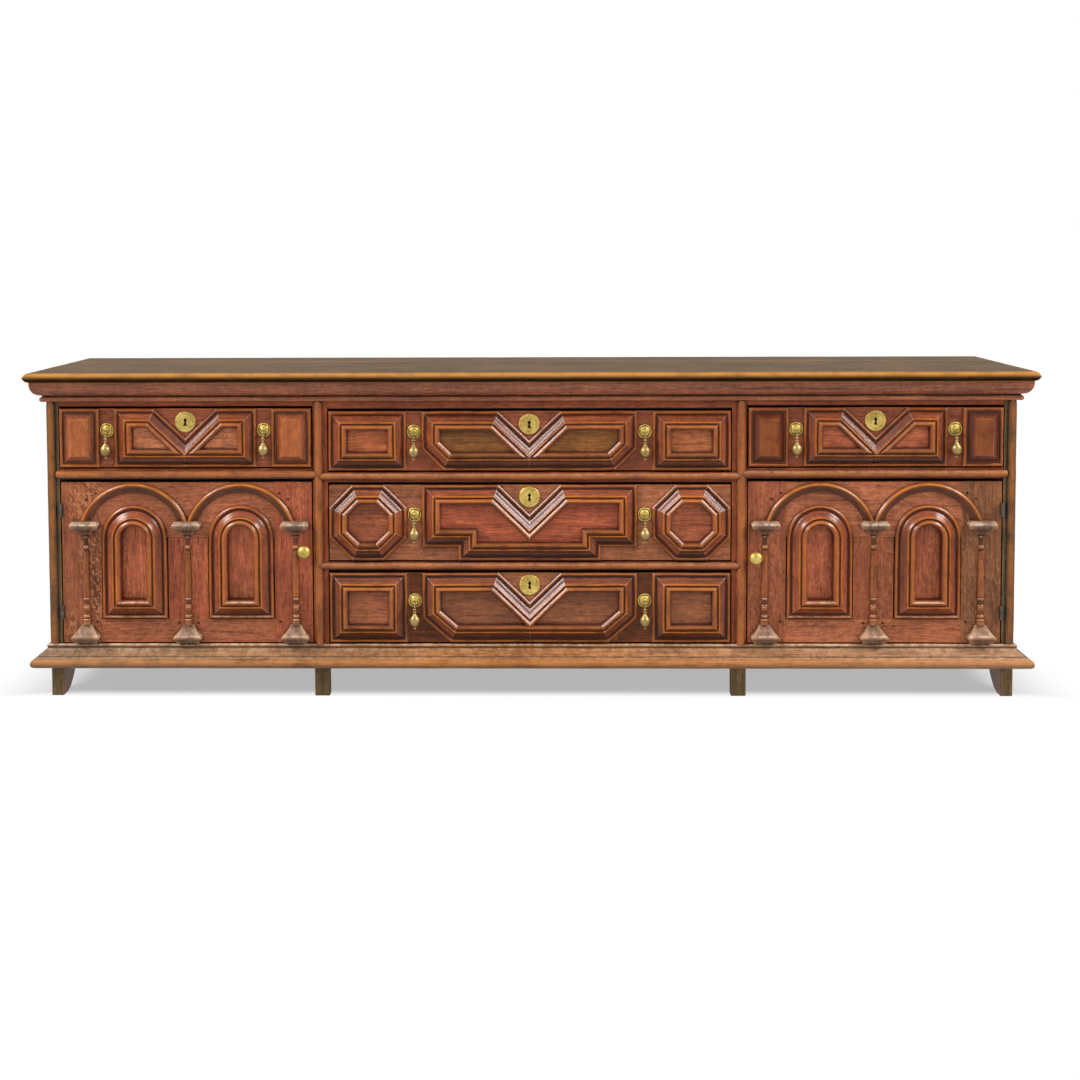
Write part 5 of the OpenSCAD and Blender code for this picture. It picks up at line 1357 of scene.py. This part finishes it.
def door(name, side):
    body = f"{name}_door"
    door_frame(name, side)
    shape = Shape(f"{body}_panel")
    reach = PANEL_HALF + GROOVE_D
    z0, z1 = BOTTOM_RAIL_H - GROOVE_D, SPRING_H + PANEL_R + GROOVE_D
    for c in PANEL_XS:
        door_board(shape, side, (c - reach, RECESS, z0), (c + reach, RECESS + PANEL_T, z1))
    shape.piece(f"{name}_door_fields", body, OAK, f"{body}_panels", "oak_panels")

    shape = Shape("moulding")
    for c in PANEL_XS:
        panel_moulding(shape, side, c)
        big_arch(shape, side, c)
    shape.piece(f"{name}_door_moulds", body, MOULDED, f"{body}_mouldings", "oak_mouldings")

    shape = Shape("pillar", 0.5)
    for x in (DOOR_HALF - (64 if side < 0 else 54), MIDDLE_X, 45 - DOOR_HALF):
        mitred_block(shape, side, x, LIFT, PLINTH_STEPS, PLINTH_HIGHLIGHT)
        shaft(shape, side, x, LIFT + PLINTH_H + 0.2)
        mitred_block(shape, side, x, LIFT + CAPITAL_Z, CAPITAL_STEPS, CAPITAL_HIGHLIGHT)
    shape.piece(f"{name}_door_pillars", body, TURNED, f"{body}_columns", "oak_mouldings")
    dress(f"{body}_knob", BRASS)
    dress(f"{body}_hinges", IRON)


# Stage, in metres

# The photograph's width, and its camera's focal length and centre in pixels
PHOTO_W, FOCAL, CENTRE = 1080, 1526.05, (515.6, 333.75)
CAMERA_PLACE = (0.0264, -4.2693, 1.1978)
YAW, PITCH, ROLL = (math.radians(v) for v in (-0.878, 3.208, -0.191))

# Lamps stand on both sides, mirrored; power in watts
LAMP_PLACE, LAMP_TARGET, LAMP_SIZE = (6.9, -2.3, 6.1), (0, -0.24, 0.5), (3.6, 2.7)
LEFT_POWER, RIGHT_POWER = 820, 770
WORLD_STRENGTH, FLOOR_HALF, FLOOR_GREY = 0.74, 30.0, (0.33, 0.33, 0.33)
SHADOW_WHITE = 0.447  # the white's share where the shadow shows

# Where the shadow fades to white: before the front, beside the middle and behind it
BEFORE, BESIDE, BEHIND = (-0.02, 0.06), (1.22, 1.50), (0.3, 1.5)


def link(obj):
    bpy.context.scene.collection.objects.link(obj)


def camera():
    data = bpy.data.cameras.new("photo_camera")
    data.sensor_width = 36.0
    data.lens = FOCAL / PHOTO_W * data.sensor_width
    data.shift_x = (PHOTO_W / 2 - CENTRE[0]) / PHOTO_W
    data.shift_y = (CENTRE[1] - PHOTO_W / 2) / PHOTO_W
    data.clip_end = 60
    cam = bpy.data.objects.new("photo_camera", data)
    link(cam)
    forward = Vector((math.sin(YAW) * math.cos(PITCH), math.cos(YAW) * math.cos(PITCH), -math.sin(PITCH)))
    level = Vector((math.cos(YAW), -math.sin(YAW), 0))
    up = level.cross(forward)
    right = math.cos(ROLL) * level + math.sin(ROLL) * up
    up = math.cos(ROLL) * up - math.sin(ROLL) * level
    turn = Matrix((right, up, -forward)).transposed().to_4x4()
    cam.matrix_world = Matrix.Translation(CAMERA_PLACE) @ turn
    bpy.context.scene.camera = cam


def lamp(name, side, power):
    data = bpy.data.lights.new(name, "AREA")
    data.shape = "RECTANGLE"
    data.size, data.size_y = LAMP_SIZE
    data.energy = power
    obj = bpy.data.objects.new(name, data)
    obj.location = (side * LAMP_PLACE[0], *LAMP_PLACE[1:])
    obj.rotation_euler = (Vector(LAMP_TARGET) - obj.location).to_track_quat("-Z", "Y").to_euler()
    link(obj)


class Stage(Nodes):
    """Node tree of the floor or the world, emptied before it is filled."""

    def __init__(self, tree):
        self.tree = tree
        tree.nodes.clear()

    def seen(self):
        """1 for camera, glossy and transmission rays."""
        rays = self.put("ShaderNodeLightPath").outputs
        return self.most(self.most(rays["Is Camera Ray"], rays["Is Glossy Ray"]), rays["Is Transmission Ray"])

    def blend(self, share, a, b, output):
        mixed = self.put("ShaderNodeMixShader", {0: share, 1: a.outputs[0], 2: b.outputs[0]})
        self.put(output, {0: mixed.outputs[0]})


def floor():
    """A white floor that keeps the object's shadow under and behind it."""
    mesh = bpy.data.meshes.new("studio_floor")
    a = FLOOR_HALF
    mesh.from_pydata([(-a, -a, 0), (a, -a, 0), (a, a, 0), (-a, a, 0)], [], [(0, 1, 2, 3)])
    obj = bpy.data.objects.new("studio_floor", mesh)
    link(obj)
    material = bpy.data.materials.new("studio_floor")
    material.use_nodes = True
    n = Stage(material.node_tree)
    matt = n.put("ShaderNodeBsdfDiffuse", {"Color": FLOOR_GREY})
    glow = n.put("ShaderNodeEmission", {"Strength": 1.0})
    place = n.put("ShaderNodeSeparateXYZ", {0: n.place()}).outputs
    front = FRONT_Y / 1000
    before = n.span(place[1], front + BEFORE[0], front + BEFORE[1], 1.0, SHADOW_WHITE)
    beside = n.span(n.math("ABSOLUTE", place[0]), *BESIDE, SHADOW_WHITE, 1.0)
    behind = n.span(place[1], *BEHIND, SHADOW_WHITE, 1.0)
    white = n.times(n.most(n.most(before, beside), behind), n.seen())
    n.blend(white, matt, glow, "ShaderNodeOutputMaterial")
    mesh.materials.append(material)


def studio():
    """A soft even world, seen as white, and two soft lamps."""
    world = bpy.data.worlds.new("studio")
    world.use_nodes = True
    bpy.context.scene.world = world
    n = Stage(world.node_tree)
    soft = n.put("ShaderNodeBackground", {"Color": (1, 1, 1), "Strength": WORLD_STRENGTH})
    white = n.put("ShaderNodeBackground", {"Color": (1, 1, 1), "Strength": 1.0})
    n.blend(n.seen(), soft, white, "ShaderNodeOutputWorld")
    lamp("key_left", -1, LEFT_POWER)
    lamp("key_right", 1, RIGHT_POWER)


top()
stiles()
front_frame()
cornice()
base_moulding()
beads()
ends()
back()
inside()
for each in DRAWERS:
    drawer(each)
door("left", -1)
door("right", 1)
floor()
studio()
camera()
bpy.context.scene.view_settings.view_transform = "Standard"
